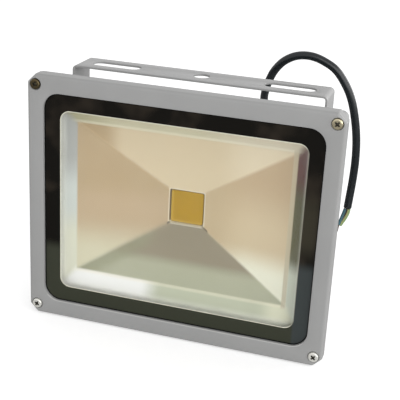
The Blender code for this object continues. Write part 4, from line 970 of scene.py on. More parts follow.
@dataclass
class Finishes:
    """All finishes of the lamp, built once and found by name."""

    effects: Effects = field(default_factory=Effects)
    made: dict[str, bpy.types.Material] = field(default_factory=dict)

    PAINT = Moulded("satin_grey_paint", (0.314, 0.314, 0.311), 0.32, drift=0.03)
    CAST_PAINT = Moulded("grey_paint_on_casting", (0.325, 0.325, 0.323), 0.45, drift=0.04,
                         grain_scale=420.0, grain_depth=0.00006)
    STEEL_PAINT = Moulded("grey_paint_on_steel", (0.352, 0.352, 0.350), 0.36, drift=0.03)
    ZINC = Plated("yellow_zinc", (0.74, 0.67, 0.47), 0.34, tint=(0.55, 0.44, 0.26))
    # Painted shade: a darker copy of the zinc for the upper left frame screw.
    ZINC_SHADE = Plated("painted_shade_zinc", (0.15, 0.12, 0.065), 0.40, tint=(0.08, 0.05, 0.025))
    # Painted light: a paler, less metallic copy of the zinc for the lower frame screws.
    ZINC_LIGHT = Plated("painted_light_zinc", (0.93, 0.93, 0.88), 0.36, tint=(0.84, 0.80, 0.70),
                    metallic=0.6)
    # Painted shade in the screws' cross recesses.
    RECESS_SHADE = Plated("painted_recess_shade", (0.16, 0.15, 0.12), 0.5, tint=(0.10, 0.09, 0.07))
    BRASS = Plated("brass", (0.72, 0.55, 0.25), 0.3, tint=(0.6, 0.42, 0.15))
    COPPER = Plated("copper", (0.75, 0.38, 0.2), 0.35, tint=(0.6, 0.25, 0.12))
    LED_METAL = Plated("bare_aluminium", (0.75, 0.74, 0.72), 0.3, tint=(0.6, 0.6, 0.6))
    PANE = Pane("clear_pane", (0.975, 0.985, 0.98), 0.02)
    PRINT = BorderPrint("black_enamel", (0.012, 0.010, 0.007), 0.05)
    SHEET = BrightSheet("bright_sheet", (0.80, 0.76, 0.60), 0.3)
    PHOSPHOR = Gel("phosphor_gel", (0.450, 0.262, 0.006), 0.45)
    # Dark amber painted shade on the dam, with painted light on two sides.
    DAM_SHADE = Dam("painted_shade_dam", (0.20, 0.14, 0.06), 0.5)
    # Painted highlight: a lighter paint on the opening's lower edge.
    EDGE_HIGHLIGHT = Moulded("painted_edge_highlight", (0.46, 0.46, 0.45), 0.3, drift=0.05)
    SILICONE = Moulded("black_silicone", (0.03, 0.03, 0.03), 0.6, grain_scale=1200.0)
    WHITE = Moulded("white_plastic", (0.80, 0.79, 0.75), 0.45, drift=0.02, grain_scale=900.0)
    BLACK = Moulded("black_nylon", (0.018, 0.018, 0.019), 0.42, grain_scale=1400.0,
                    grain_depth=0.00002)
    RUBBER = Moulded("cable_jacket", (0.006, 0.009, 0.011), 0.24, grain_scale=1800.0,
                     grain_depth=0.00002, drift_scale=40.0, drift=0.15)
    FILLER = Moulded("cable_filler", (0.05, 0.05, 0.05), 0.8, grain_scale=2500.0)
    PAD = Moulded("thermal_pad", (0.30, 0.30, 0.33), 0.8, grain_scale=1200.0)
    DRIVER = Moulded("driver_case", (0.72, 0.72, 0.70), 0.4, drift=0.02)
    RED = Moulded("red_insulation", (0.45, 0.02, 0.02), 0.4, grain_scale=2000.0)
    BLACK_WIRE = Moulded("black_insulation", (0.015, 0.015, 0.015), 0.4, grain_scale=2000.0)
    BROWN = Moulded("brown_insulation", (0.085, 0.040, 0.025), 0.4, grain_scale=2000.0)
    BLUE = Moulded("blue_insulation", (0.050, 0.125, 0.155), 0.4, grain_scale=2000.0)
    GREEN = Moulded("green_insulation", (0.24, 0.34, 0.15), 0.4, grain_scale=2000.0)
    YELLOW = Moulded("yellow_insulation", (0.58, 0.57, 0.24), 0.4, grain_scale=2000.0)

    def get(self, finish: Finish) -> bpy.types.Material:
        """Find the material of a finish, or build it the first time.

        Args:
            finish: The finish.

        Returns:
            Its material.
        """
        if finish.name not in self.made:
            self.made[finish.name] = finish.build(self.effects)
        return self.made[finish.name]


@dataclass
class Workshop:
    """Turns bmeshes into pieces of the lamp and dresses solids that stay as they are."""

    finishes: Finishes

    def piece(self, name: str, bm: Shape, slot: Slot, finish: Finish | Sequence[Finish],
              replaces: Iterable[str] = (), body: Body = Body.HEAD,
              sharp: float = 34.0) -> bpy.types.Object:
        """Make a finished piece that rides on a body.

        Args:
            name: The piece's name.
            bm: Its shape, which is freed.
            slot: The record's material slot; not used.
            finish: One finish, or several by material index.
            replaces: Solids of the frame that it stands for.
            body: What it moves with.
            sharp: Angle in degrees from which an edge stays sharp.

        Returns:
            The piece.
        """
        bmesh.ops.remove_doubles(bm, verts=bm.verts, dist=WELD)
        bm.normal_update()
        bmesh.ops.recalc_face_normals(bm, faces=bm.faces)
        mesh = meshed(name, bm)
        mesh.shade_smooth()
        mesh.set_sharp_from_angle(angle=math.radians(sharp))
        for one in (finish,) if isinstance(finish, Finish) else finish:
            mesh.materials.append(self.finishes.get(one))
        item = linked(name, mesh)
        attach(item, body.value)
        if replaces:
            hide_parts(*replaces)
        LOG.info("%s: %d faces on %s", name, len(mesh.polygons), body.value)
        return item

    def dress(self, finish: Finish, *nodes: str) -> None:
        """Give solids of the frame a finish and leave their shape alone.

        Args:
            finish: The finish.
            nodes: Names of the solids.
        """
        for node in nodes:
            materials = frame["nodes"][node].data.materials
            materials.clear()
            materials.append(self.finishes.get(finish))
            LOG.info("%s: dressed in %s", node, finish.name)


def combined(target: Shape, tool: Shape, operation: str = "DIFFERENCE") -> Shape:
    """Cut a closed shape out of another, or unite them.

    Args:
        target: The shape that stays, which is freed.
        tool: The other shape, which is freed.
        operation: The Boolean modifier's operation.

    Returns:
        The new shape.
    """
    holders = []
    for bm in (target, tool):
        bm.normal_update()
        bmesh.ops.recalc_face_normals(bm, faces=bm.faces)
        holders.append(linked("blank", meshed("blank", bm)))
    modifier = holders[0].modifiers.new("shape", "BOOLEAN")
    modifier.operation = operation
    modifier.solver = "EXACT"
    modifier.object = holders[1]
    graph = bpy.context.evaluated_depsgraph_get()
    result = bmesh.new()
    result.from_mesh(holders[0].evaluated_get(graph).to_mesh())
    for holder in holders:
        mesh = holder.data
        bpy.data.objects.remove(holder)
        bpy.data.meshes.remove(mesh)
    bmesh.ops.remove_doubles(result, verts=result.verts, dist=FINE_WELD)
    return result


def joined(parts: Iterable[Shape]) -> Shape:
    """Put several separate shapes into one.

    Args:
        parts: The shapes, which are freed.

    Returns:
        The joined shape.
    """
    whole = bmesh.new()
    for part in parts:
        mesh = meshed("part", part)
        whole.from_mesh(mesh)
        bpy.data.meshes.remove(mesh)
    return whole


def bevelled(bm: Shape, geometry: Sequence, size: float, steps: int,
             affect: str = "VERTICES") -> dict:
    """Bevel corners or edges of a shape, and return what the operator returns."""
    return bmesh.ops.bevel(bm, geom=geometry, offset=size, offset_type="OFFSET", segments=steps,
                           profile=0.5, affect=affect, material=-1)


def quarter(steps: int = FILLET_STEPS) -> list[Run]:
    """Return sine and cosine at even steps through a quarter turn, with both its ends."""
    angles = [QUARTER * step / steps for step in range(steps + 1)]
    return [(math.sin(angle), math.cos(angle)) for angle in angles]


def sideways(side: int) -> Matrix:
    """Return the turn that points a shape along Y to the right (1) or the left (-1)."""
    return Matrix.Rotation(math.radians(-90 * side), 3, "Z")


class Loop(NamedTuple):
    """A rectangle at one depth behind the frame's front, with round or cut-off corners."""

    half_x: float
    half_z: float
    radius: float
    depth: float
    cut: float = 0.0

    def grown(self, by: float, depth: float, least: float = 0.0) -> "Loop":
        """Return a loop that lies evenly outside this one.

        Args:
            by: How far it lies outside, negative for inside.
            depth: Its depth.
            least: Smallest corner radius that it may have.

        Returns:
            The new loop.
        """
        cut = self.cut + by * (2 - math.sqrt(2)) if self.cut else 0.0
        return Loop(self.half_x + by, self.half_z + by, max(self.radius + by, least), depth, cut)

    def add(self, bm: Shape) -> list[bmesh.types.BMEdge]:
        """Add the loop to a bmesh that has no other face on it.

        Args:
            bm: The bmesh.

        Returns:
            The loop's edges.
        """
        signs = ((1, 1), (-1, 1), (-1, -1), (1, -1))
        corners = [bm.verts.new(at(side * self.half_x, self.depth, up * self.half_z))
                   for side, up in signs]
        before = set(bm.faces)
        bm.faces.new(corners)
        reach, steps = self.radius, CORNER_STEPS
        if self.cut:
            corners = bevelled(bm, corners, self.cut, 1)["verts"]
            reach, steps = self.radius * math.tan(QUARTER / 4), steps // 2
        bevelled(bm, corners, reach, steps)
        face = next(one for one in bm.faces if one not in before)
        edges = list(face.edges)
        bmesh.ops.delete(bm, geom=[face], context="FACES_ONLY")
        return edges


def skinned(loops: Sequence[Loop], tunnel: bool = False) -> Shape:
    """Skin a row of loops into a closed shape.

    Args:
        loops: The loops in order.
        tunnel: True to join the last loop to the first, False to cap both.

    Returns:
        The shape.
    """
    bm = bmesh.new()
    follow = list(loops[1:]) + ([loops[0]] if tunnel else [])
    for near, far in zip(loops, follow):
        bmesh.ops.bridge_loops(bm, edges=near.add(bm) + far.add(bm))
    if not tunnel:
        for loop in (loops[0], loops[-1]):
            bmesh.ops.edgeloop_fill(bm, edges=loop.add(bm))
    bmesh.ops.remove_doubles(bm, verts=bm.verts, dist=WELD)
    return bm


def rod(radius: float, start: float, end: float) -> list[Run]:
    """Return the profile of a plain round rod."""
    return [(0.0, start), (radius, start), (radius, end), (0.0, end)]


def turned(profile: Sequence[Run], steps: int = ROUND_STEPS) -> Shape:
    """Turn a profile into a solid of revolution about the Y axis.

    Args:
        profile: Pairs of radius and distance along the axis. One that stays off the axis is
            closed into a ring.
        steps: Facets round the axis.

    Returns:
        The shape.
    """
    bm = bmesh.new()
    verts = [bm.verts.new((radius, along, 0.0)) for radius, along in profile]
    edges = [bm.edges.new(pair) for pair in zip(verts, verts[1:])]
    if profile[0][0] > 0.0 and profile[-1][0] > 0.0:
        edges.append(bm.edges.new((verts[-1], verts[0])))
    bmesh.ops.spin(bm, geom=verts + edges, cent=(0, 0, 0), axis=(0, 1, 0), dvec=(0, 0, 0),
                   angle=math.tau, steps=steps, use_merge=True)
    bmesh.ops.remove_doubles(bm, verts=bm.verts, dist=WELD)
    return bm


def moved(bm: Shape, place: Vector, turn: Matrix | None = None) -> Shape:
    """Turn a shape about the origin, then put it at its place.

    Args:
        bm: The shape.
        place: Where its origin goes.
        turn: How it is turned first.

    Returns:
        The same shape.
    """
    if turn is not None:
        bmesh.ops.rotate(bm, verts=bm.verts, cent=(0, 0, 0), matrix=turn)
    bmesh.ops.translate(bm, verts=bm.verts, vec=place)
    return bm


def hexagon(flats: float, low: float, high: float, chamfer: float, blank: float = 1.02,
            face: float = 0.475) -> Shape:
    """Make a hexagonal bar along the Y axis whose far corners are turned off.

    Args:
        flats: Size across its flats.
        low: Where it starts.
        high: Where it ends, with the turned corners.
        chamfer: How far down the corners are turned off.
        blank: Radius where the turning starts, as a share of the corners' radius.
        face: Radius of the round end face, as a share of the size across the flats.

    Returns:
        The shape.
    """
    corner = flats / math.sqrt(3)
    bar = turned(rod(corner, low, high), 6)
    reach = corner * blank
    envelope = turned([(0.0, low - chamfer), (reach, low - chamfer), (reach, high - chamfer),
                       (flats * face, high), (0.0, high)])
    return combined(bar, envelope, "INTERSECT")


def drawn_out(outline: Sequence[Vector], along: Vector,
              rounded: Sequence[tuple[int, float]] = (), edge: float = 0.0) -> Shape:
    """Draw a flat outline out into a solid.

    Args:
        outline: Corners of the outline.
        along: Which way and how far it is drawn.
        rounded: Corners to round first, as index and radius.
        edge: Chamfer round both ends, 0 for none.

    Returns:
        The shape.
    """
    bm = bmesh.new()
    corners = [bm.verts.new(point) for point in outline]
    bm.faces.new(corners)
    for index, radius in rounded:
        bevelled(bm, [corners[index]], radius, FILLET_STEPS)
    drawn = bmesh.ops.extrude_face_region(bm, geom=bm.faces[:], use_keep_orig=True)["geom"]
    tips = [item for item in drawn if isinstance(item, bmesh.types.BMVert)]
    bmesh.ops.translate(bm, verts=tips, vec=along)
    bm.normal_update()
    if edge:
        ends = [one for one in bm.faces if abs(one.normal.dot(along.normalized())) > ALIGNED]
        rims = list({side for one in ends for side in one.edges})
        bevelled(bm, rims, edge, 1, "EDGES")
    return bm


def smooth_route(points: Sequence[Vector], steps: int = 6) -> list[Vector]:
    """Return points along a smooth curve.

    Args:
        points: What the curve passes through.
        steps: Stretches between one given point and the next.

    Returns:
        The curve's points.
    """
    padded = [points[0] * 2 - points[1], *points, points[-1] * 2 - points[-2]]
    route = []
    for before, start, end, after in zip(padded, padded[1:], padded[2:], padded[3:]):
        near = math.sqrt((start - before).length)
        span = math.sqrt((end - start).length)
        far = math.sqrt((after - end).length)
        chord = (end - start) / span
        lead = ((start - before) / near - (end - before) / (near + span) + chord) * span
        trail = (chord - (after - start) / (span + far) + (after - end) / far) * span
        route += interpolate_bezier(start, start + lead / 3, end - trail / 3, end, steps + 1)[:-1]
    return route + [points[-1]]


def swept(path: Sequence[Vector], radius: float, sides: int = 20, edge: float = 0.0002,
          core: float = 0.0, striped: bool = False) -> Shape:
    """Draw a round section along a path.

    Args:
        path: Points along the middle.
        radius: The section's radius.
        sides: Facets round it.
        edge: How far its ends turn in.
        core: Radius of the middle of each end face, which gets the second material.
        striped: True to give half of the surface the third material.

    Returns:
        The shape.
    """
    ahead = (path[1] - path[0]).normalized()
    astern = (path[-1] - path[-2]).normalized()
    stations = [(path[0] + ahead * edge, ahead, radius)]
    for before, here, after in zip(path, path[1:], path[2:]):
        stations.append((here, (after - before).normalized(), radius))
    stations.append((path[-1] - astern * edge, astern, radius))
    stations.append((path[-1], astern, radius - edge))

    bm = bmesh.new()
    place, heading, reach = path[0], ahead, radius - edge
    facing = heading.to_track_quat("Z", "Y").to_matrix()
    side = facing.col[0].copy()
    bmesh.ops.create_circle(bm, cap_ends=False, radius=reach, segments=sides,
                            matrix=Matrix.Translation(place) @ facing.to_4x4())
    ring = bm.edges[:]
    caps = bmesh.ops.edgeloop_fill(bm, edges=ring)["faces"]
    for point, ahead, width in stations:
        drawn = bmesh.ops.extrude_edge_only(bm, edges=ring)["geom"]
        verts = {item for item in drawn if isinstance(item, bmesh.types.BMVert)}
        turn = heading.rotation_difference(ahead).to_matrix()
        bmesh.ops.rotate(bm, verts=list(verts), cent=place, matrix=turn)
        bmesh.ops.translate(bm, verts=list(verts), vec=point - place)
        bmesh.ops.scale(bm, verts=list(verts), vec=(width / reach,) * 3,
                        space=Matrix.Translation(-point))
        side = turn @ side
        if striped:
            for face in (item for item in drawn if isinstance(item, bmesh.types.BMFace)):
                out = face.calc_center_median() - point
                angle = math.atan2(out.dot(ahead.cross(side)), out.dot(side))
                face.material_index = THIRD if math.sin(2 * angle) > 0.0 else FIRST
        ring = [item for item in drawn if isinstance(item, bmesh.types.BMEdge)
                and verts.issuperset(item.verts)]
        place, heading, reach = point, ahead, width
    caps += bmesh.ops.edgeloop_fill(bm, edges=ring)["faces"]
    if core:
        for cap in caps:
            bmesh.ops.inset_region(bm, faces=[cap], thickness=reach - core)
            cap.material_index = SECOND
    return bm


@dataclass
class FaceFrame:
    """The cast frame round the window: cut-off corners and a pocket for each of four screws."""

    shop: Workshop
    outline: Loop = Loop(HALF_X, HALF_Z, 0.0012, 0.0, 0.0062)
    fillet: float = 0.0021
    wall: float = 0.0025
    lip: float = 0.0023
    back: float = 0.0090
    side_margin: float = 0.012
    top_margin: float = 0.0126
    opening_corner: float = 0.012
    opening_edge: float = 0.0006
    edge: float = 0.0004
    screw_side_inset: float = 0.0062
    screw_top_inset: float = 0.0074
    pocket_radius: float = 0.0041
    pocket_depth: float = 0.0016
    # How far up the painted highlight on the opening's lower edge reaches.
    edge_highlight_rise: float = 0.004
    level: float = 0.98

    @property
    def opening(self) -> Run:
        """Half sizes of the opening."""
        return HALF_X - self.side_margin, HALF_Z - self.top_margin

    def screw_places(self) -> list[Run]:
        """Find the screws.

        Returns:
            Their places, in the order of their solids.
        """
        x = HALF_X - self.screw_side_inset
        z = HALF_Z - self.screw_top_inset
        return [(side * x, up * z) for side, up in PLACES]

    def _outer(self, inset: float, depth: float) -> Loop:
        """Return a loop that lies inside the frame's outline."""
        return self.outline.grown(-inset, depth, self.edge)

    def _loops(self) -> list[Loop]:
        """Draw the frame's section.

        Returns:
            Its loops, from the opening round the outside and back to the opening.
        """
        opening = Loop(*self.opening, self.opening_corner, 0.0)
        edge, outer = self.opening_edge, self._outer
        steps = ((0.0, self.lip), (0.0, edge), (edge / 3, edge / 3), (edge, 0.0))
        loops = [opening.grown(outset, depth) for outset, depth in steps]
        loops += [outer(self.fillet * (1 - sine), self.fillet * (1 - cosine))
                  for sine, cosine in quarter()]
        return loops + [outer(0.0, self.back - self.edge), outer(self.edge, self.back),
                        outer(self.wall, self.back), outer(self.wall, self.lip)]

    def build(self) -> None:
        """Build the frame, with a painted highlight on the edge below the window."""
        shell = skinned(self._loops(), tunnel=True)
        reach, edge = self.pocket_radius, self.edge
        pocket = [(0.0, -OVERCUT), (reach + edge, -OVERCUT), (reach + edge, 0.0), (reach, edge),
                  (reach, self.pocket_depth), (0.0, self.pocket_depth)]
        cuts = [moved(turned(pocket), at(x, 0.0, z)) for x, z in self.screw_places()]
        shell = combined(shell, joined(cuts))
        # Faces of the opening's lower edge get the painted highlight.
        wide, high = (half + self.opening_edge for half in self.opening)
        shell.normal_update()
        for face in shell.faces:
            middle = face.calc_center_median() - at(0.0, 0.0, 0.0)
            around = abs(middle.x) < wide and -high < middle.z < self.edge_highlight_rise - high
            if around and middle.y < self.opening_edge and abs(face.normal.y) < self.level:
                face.material_index = SECOND
        self.shop.piece("face_frame", shell, Slot.CAST,
                        [Finishes.PAINT, Finishes.EDGE_HIGHLIGHT], ["front_frame"])


@dataclass
class Window:
    """The pane and the border printed on it."""

    shop: Workshop
    front: float = 0.00255
    ink: float = 0.0001
    hidden: float = 0.001

    def build(self, opening: Run, corner: float) -> None:
        """Build the border and dress the pane.

        Args:
            opening: Half sizes of the frame's opening.
            corner: The opening's corner radius.
        """
        wide, high = (half + self.hidden for half in opening)
        border = Finishes.PRINT
        outer = Loop(wide, high, corner + self.hidden, self.front)
        clear = Loop(border.clear_x, border.clear_z, border.clear_corner, self.front)
        back = self.front - self.ink
        loops = [outer.grown(0.0, back), clear.grown(0.0, back), clear, outer]
        bm = skinned(loops, tunnel=True)
        inner = [vert for vert in bm.verts if abs(vert.co.x) < border.clear_x + WELD
                 and abs(vert.co.z - MIDDLE_Z) < border.clear_z + WELD]
        bmesh.ops.translate(bm, verts=inner, vec=(border.clear_shift, 0.0, 0.0))
        self.shop.piece("glass_print", bm, Slot.GLASS, border)
        self.shop.dress(Finishes.PANE, "front_glass")


@dataclass
class Reflector:
    """The folded bright sheet: a steep rim and four shallow facets round a square hole."""

    shop: Workshop
    sheet: float = 0.0006
    hole: float = 0.0132
    hole_corner: float = 0.0012
    hole_depth: float = 0.0284
    fold_x: float = 0.0805
    fold_z: float = 0.0574
    fold_corner: float = 0.0030
    fold_depth: float = 0.0167
    fold_radius: float = 0.0016
    mouth_x: float = 0.0913
    mouth_z: float = 0.0707
    mouth_corner: float = 0.0090
    mouth_depth: float = 0.0093
    flange: float = 0.0035
    fold_shares: tuple[float, ...] = (-1.0, -0.45, 0.0, 0.45, 1.0)
    fold_lift: float = 0.28

    def _loops(self) -> list[Loop]:
        """Draw the section of the front skin.

        Returns:
            Its loops, from the hole out to the flange.
        """
        loops = [Loop(self.hole, self.hole, self.hole_corner, self.hole_depth)]
        inward = Vector((self.hole - self.fold_x, self.hole - self.fold_z,
                         self.hole_depth - self.fold_depth))
        outward = Vector((self.mouth_x - self.fold_x, self.mouth_z - self.fold_z,
                          self.mouth_depth - self.fold_depth))
        for share in self.fold_shares:
            run = (inward if share < 0 else outward).normalized() * abs(share) * self.fold_radius
            lift = self.fold_radius * self.fold_lift * (1 - share * share)
            loops.append(Loop(self.fold_x + run.x, self.fold_z + run.y, self.fold_corner,
                              self.fold_depth + run.z - lift))
        loops.append(Loop(self.mouth_x, self.mouth_z, self.mouth_corner, self.mouth_depth))
        loops.append(Loop(self.mouth_x + self.flange, self.mouth_z + self.flange,
                          self.mouth_corner + self.flange, self.mouth_depth))
        return loops

    def build(self) -> None:
        """Build the sheet as a front skin and a back skin one thickness behind it."""
        front = self._loops()
        back = [loop._replace(depth=loop.depth + self.sheet) for loop in reversed(front)]
        self.shop.piece("reflector_sheet", skinned(front + back, tunnel=True), Slot.SHEET,
                        Finishes.SHEET, ["reflector"], sharp=50.0)


@dataclass(frozen=True)
class Screw:
    """A pan-head screw with a cross recess. Shares are of its radii and its head's height."""

    radius: float
    head_radius: float
    head_height: float
    length: float
    finish: Finish
    edge: float = 0.0002
    crown: float = 0.76
    crown_side: float = 0.50
    tip: float = 0.6
    tip_length: float = 0.5
    recess: float = 0.58
    recess_arm: float = 0.14
    recess_root: float = 1.5
    recess_depth: float = 0.62
    recess_taper: float = 0.55
    crown_top: float = 0.99
    recess_deep: float = 0.5
    steep: float = 0.7
    steps: int = 40

    def _recess(self) -> Shape:
        """Make the cutter of the cross recess, narrower at its bottom.

        Returns:
            The cutter.
        """
        arm = self.head_radius * self.recess
        half = self.head_radius * self.recess_arm
        root = half * self.recess_root
        top = -self.head_height - GAP
        outline = []
        for turn in range(4):
            spin = Matrix.Rotation(math.radians(90 * turn), 3, "Y")
            for x, z in ((arm, half), (arm, -half), (root, -root)):
                outline.append(spin @ Vector((x, top, z)))
        depth = self.head_height * self.recess_depth + GAP
        cutter = drawn_out(outline, Vector((0.0, depth, 0.0)))
        tips = [vert for vert in cutter.verts if vert.co.y > top + GAP]
        bmesh.ops.scale(cutter, verts=tips, vec=(self.recess_taper, 1.0, self.recess_taper))
        return cutter

    def build(self, shop: Workshop, name: str, place: Vector, facing_back: bool, angle: float,
              replaces: str) -> None:
        """Build one screw.

        Args:
            shop: What makes it a piece.
            name: The piece's name.
            place: The middle of its seat.
            facing_back: True where its head faces backwards.
            angle: How far its recess is turned, in degrees.
            replaces: The solid that it stands for.
        """
        reach, top = self.head_radius, -self.head_height
        profile = [(0.0, top)]
        profile += [(reach * (self.crown + (1 - self.crown) * sine),
                     top * (self.crown_side + (1 - self.crown_side) * cosine))
                    for sine, cosine in quarter()]
        profile += [(reach, -self.edge), (reach - self.edge, 0.0), (self.radius, 0.0),
                    (self.radius, self.length - self.radius * self.tip_length),
                    (self.radius * self.tip, self.length), (0.0, self.length)]
        bm = combined(turned(profile, self.steps), self._recess())
        bm.normal_update()
        # Walls and floor of the cross recess get painted shade.
        for face in bm.faces:
            middle = face.calc_center_median()
            inside = math.hypot(middle.x, middle.z) < reach * self.recess
            wall = top * self.crown_top < middle.y and face.normal.y > -self.steep
            floor = top * self.recess_deep < middle.y
            if inside and middle.y < 0.0 and (wall or floor):
                face.material_index = SECOND
        turn = Matrix.Rotation(math.radians(180.0 if facing_back else 0.0), 3, "Z")
        turn = turn @ Matrix.Rotation(math.radians(angle), 3, "Y")
        shop.piece(name, moved(bm, place, turn), Slot.ZINC,
                   [self.finish, Finishes.RECESS_SHADE], [replaces])


@dataclass
class FaceScrews:
    """The four screws of the frame, each stopped at its own angle."""

    shop: Workshop
    kind: Screw = Screw(0.0020, 0.0037, 0.0024, 0.016, Finishes.ZINC)
    seat: float = 0.0013
    angles: tuple[float, ...] = (40.0, 45.0, 20.0, 30.0)

    def build(self, places: Sequence[Run]) -> None:
        """Build the screws.

        Args:
            places: Their places, in the order of the frame's solids.
        """
        for number, ((x, z), angle) in enumerate(zip(places, self.angles), 1):
            # Lit and shaded copies of the zinc: painted light below, painted shade at the upper
            # left.
            finish = Finishes.ZINC if z > 0.0 else Finishes.ZINC_LIGHT
            if z > 0.0 > x:
                finish = Finishes.ZINC_SHADE
            kind = replace(self.kind, finish=finish)
            kind.build(self.shop, f"face_screw_{number}", at(x, self.seat, z), False, angle,
                       f"frame_screw_{number}")


@dataclass
class LedModule:
    """The emitting square and the dam round it."""

    shop: Workshop
    half: float = 0.01225
    corner: float = 0.0016
    front: float = 0.0293
    sunk: float = 0.0002
    back: float = 0.0311
    dam_inner: float = 0.01255
    dam_outer: float = 0.01545
    edge: float = 0.0003
    crown: float = 0.5

    def build(self) -> None:
        """Build both pieces."""
        front = self.front + self.sunk
        gel = [Loop(self.half, self.half, self.corner, self.back),
               Loop(self.half, self.half, self.corner, front + self.edge),
               Loop(self.half - self.edge, self.half - self.edge, self.corner, front),
               Loop(self.half * self.crown, self.half * self.crown, self.corner,
                    front - self.edge / 2)]
        self.shop.piece("phosphor_gel", skinned(gel), Slot.PHOSPHOR, Finishes.PHOSPHOR,
                        ["led_phosphor"])
        inner, outer = self.dam_inner, self.dam_outer
        dam = [Loop(inner, inner, self.corner, self.back),
               Loop(inner, inner, self.corner, self.front + self.edge),
               Loop(inner + self.edge, inner + self.edge, self.corner, self.front),
               Loop(outer - self.edge, outer - self.edge, self.corner, self.front),
               Loop(outer, outer, self.corner, self.front + self.edge),
               Loop(outer, outer, self.corner, self.back)]
        self.shop.piece("gel_dam", skinned(dam, tunnel=True), Slot.WHITE, Finishes.DAM_SHADE,
                        ["led_dam"])


@dataclass
class Housing:
    """The cast dish behind the frame, with fins, pivot lugs, side pads and screw bosses."""

    shop: Workshop
    front: float = 0.0093
    flange: float = 0.0030
    flange_inset: float = 0.0005
    edge: float = 0.0004
    mouth: Loop = Loop(0.0913, 0.0707, 0.0090, 0.0)
    body: Loop = Loop(0.0901, 0.0695, 0.0090, 0.0)
    ledge_depth: float = 0.0102
    wall: float = 0.0035
    taper: float = 0.0031
    shoulder: float = 0.0180
    floor_front: float = 0.0339
    floor_back: float = 0.0389
    fillet: float = 0.0015
    bite: float = 0.0010
    fin_tip: float = 0.0599
    fin_pitch: float = 0.0083
    fin_count: int = 10
    fin_thickness: float = 0.0022
    cheek_thickness: float = 0.0030
    fin_slope: float = 0.0030
    fin_radius: float = 0.0040
    fin_edge: float = 0.0004
    hood_x: float = 0.0640
    hood_z: float = 0.0500
    pivot_depth: float = 0.0475
    lug_radius: float = 0.0100
    lug_foot: float = 0.0130
    lug_start: float = 0.0743
    lug_end: float = 0.0913
    pad_radius: float = 0.0095
    pad_front: float = 0.0280
    pad_sunk: float = 0.0037
    pad_step: float = 0.0005
    rear_boss: float = 0.0042
    rear_boss_end: float = 0.0201
    bolt_bore: float = 0.0043
    bolt_tip: float = 0.0773
    ledge: Run = (0.0015, 0.0041)
    neck: tuple[Run, ...] = ((0.0066, 0.0), (0.0055, 0.0004), (0.0050, 0.0014))
    bend: tuple[Run, ...] = ((0.0004, -0.0006), (-0.0001, 0.0008))
    fillet_steps: int = 4
    half_round_steps: int = 24
    fin_round: float = 0.45

    def _dish(self, outline: Loop) -> Shape:
        """Make the dish with its flange and its inner ledge.

        Args:
            outline: The frame's outline.

        Returns:
            The dish.
        """
        edge = self.edge
        flange = outline.grown(-self.flange_inset, 0.0, edge)
        mouth, body = self.mouth.grown, self.body.grown
        back = self.front + self.flange
        loops = [
            body(-self.wall - self.taper, self.floor_front),
            body(-self.wall, self.shoulder),
            mouth(self.ledge[0], self.ledge_depth),
            mouth(self.ledge[1], self.ledge_depth),
            mouth(self.ledge[1], self.front),
            flange.grown(-edge, self.front, edge),
            flange.grown(0.0, self.front + edge),
            flange.grown(0.0, back - edge),
            flange.grown(-edge, back, edge),
        ]
        loops += [mouth(outset, back + drop) for outset, drop in self.neck]
        loops += [body(outset, self.shoulder + drop) for outset, drop in self.bend]
        for sine, cosine in quarter(self.fillet_steps):
            inset = self.taper + self.fillet * (1 - cosine)
            loops.append(body(-inset, self.floor_back - self.fillet * (1 - sine)))
        return skinned(loops)

    def _fin(self, x: float, thickness: float, low: float, high: float, slope_low: float,
             slope_high: float) -> Shape:
        """Make one fin.

        Args:
            x: Its middle, sideways.
            thickness: Its thickness.
            low: Its lower end.
            high: Its upper end.
            slope_low: How far its lower end leans in.
            slope_high: How far its upper end leans in.

        Returns:
            The fin.
        """
        foot = self.floor_back - self.bite
        start = x - thickness / 2
        outline = [at(start, foot, low), at(start, self.fin_tip, low + slope_low),
                   at(start, self.fin_tip, high - slope_high), at(start, foot, high)]
        top = high - low - slope_low - slope_high
        radius = min(self.fin_radius, top * self.fin_round)
        return drawn_out(outline, Vector((thickness, 0.0, 0.0)), ((1, radius), (2, radius)),
                         edge=self.fin_edge)

    def _fins(self) -> Iterable[Shape]:
        """Make all fins: full height at the sides, short above and below the hood.

        Returns:
            The fins, one after another.
        """
        high = self.body.half_z - self.taper - self.fillet
        for index in range(-self.fin_count, self.fin_count + 1):
            x = index * self.fin_pitch
            thickness = self.fin_thickness
            if abs(index) == self.fin_count:
                thickness = self.cheek_thickness
            if abs(x) - thickness / 2 > self.hood_x:
                yield self._fin(x, thickness, -high, high, self.fin_slope, self.fin_slope)
            else:
                yield self._fin(x, thickness, self.hood_z, high, 0.0, self.fin_slope)
                yield self._fin(x, thickness, -high, -self.hood_z, self.fin_slope, 0.0)

    def _half_round(self, x: float, depth: float, radius: float, toward: int) -> list[Vector]:
        """Draw a half circle at one x.

        Args:
            x: The x.
            depth: Depth of its middle.
            radius: Its radius.
            toward: Which way it bulges: 1 for backwards, -1 for forwards.

        Returns:
            Its points.
        """
        points = []
        for step in range(self.half_round_steps + 1):
            angle = 2 * QUARTER * step / self.half_round_steps
            points.append(at(x, depth + toward * radius * math.sin(angle),
                             -toward * radius * math.cos(angle)))
        return points

    def _lug(self, side: int) -> Shape:
        """Make the boss that a pivot bolt screws into.

        Args:
            side: 1 for the right one, -1 for the left one.

        Returns:
            The boss.
        """
        x = side * self.lug_start
        foot = self.floor_back - self.bite
        outline = [at(x, foot, -self.lug_foot)]
        outline += self._half_round(x, self.pivot_depth, self.lug_radius, 1)
        outline.append(at(x, foot, self.lug_foot))
        return drawn_out(outline, Vector((side * (self.lug_end - self.lug_start), 0.0, 0.0)),
                         edge=self.edge)

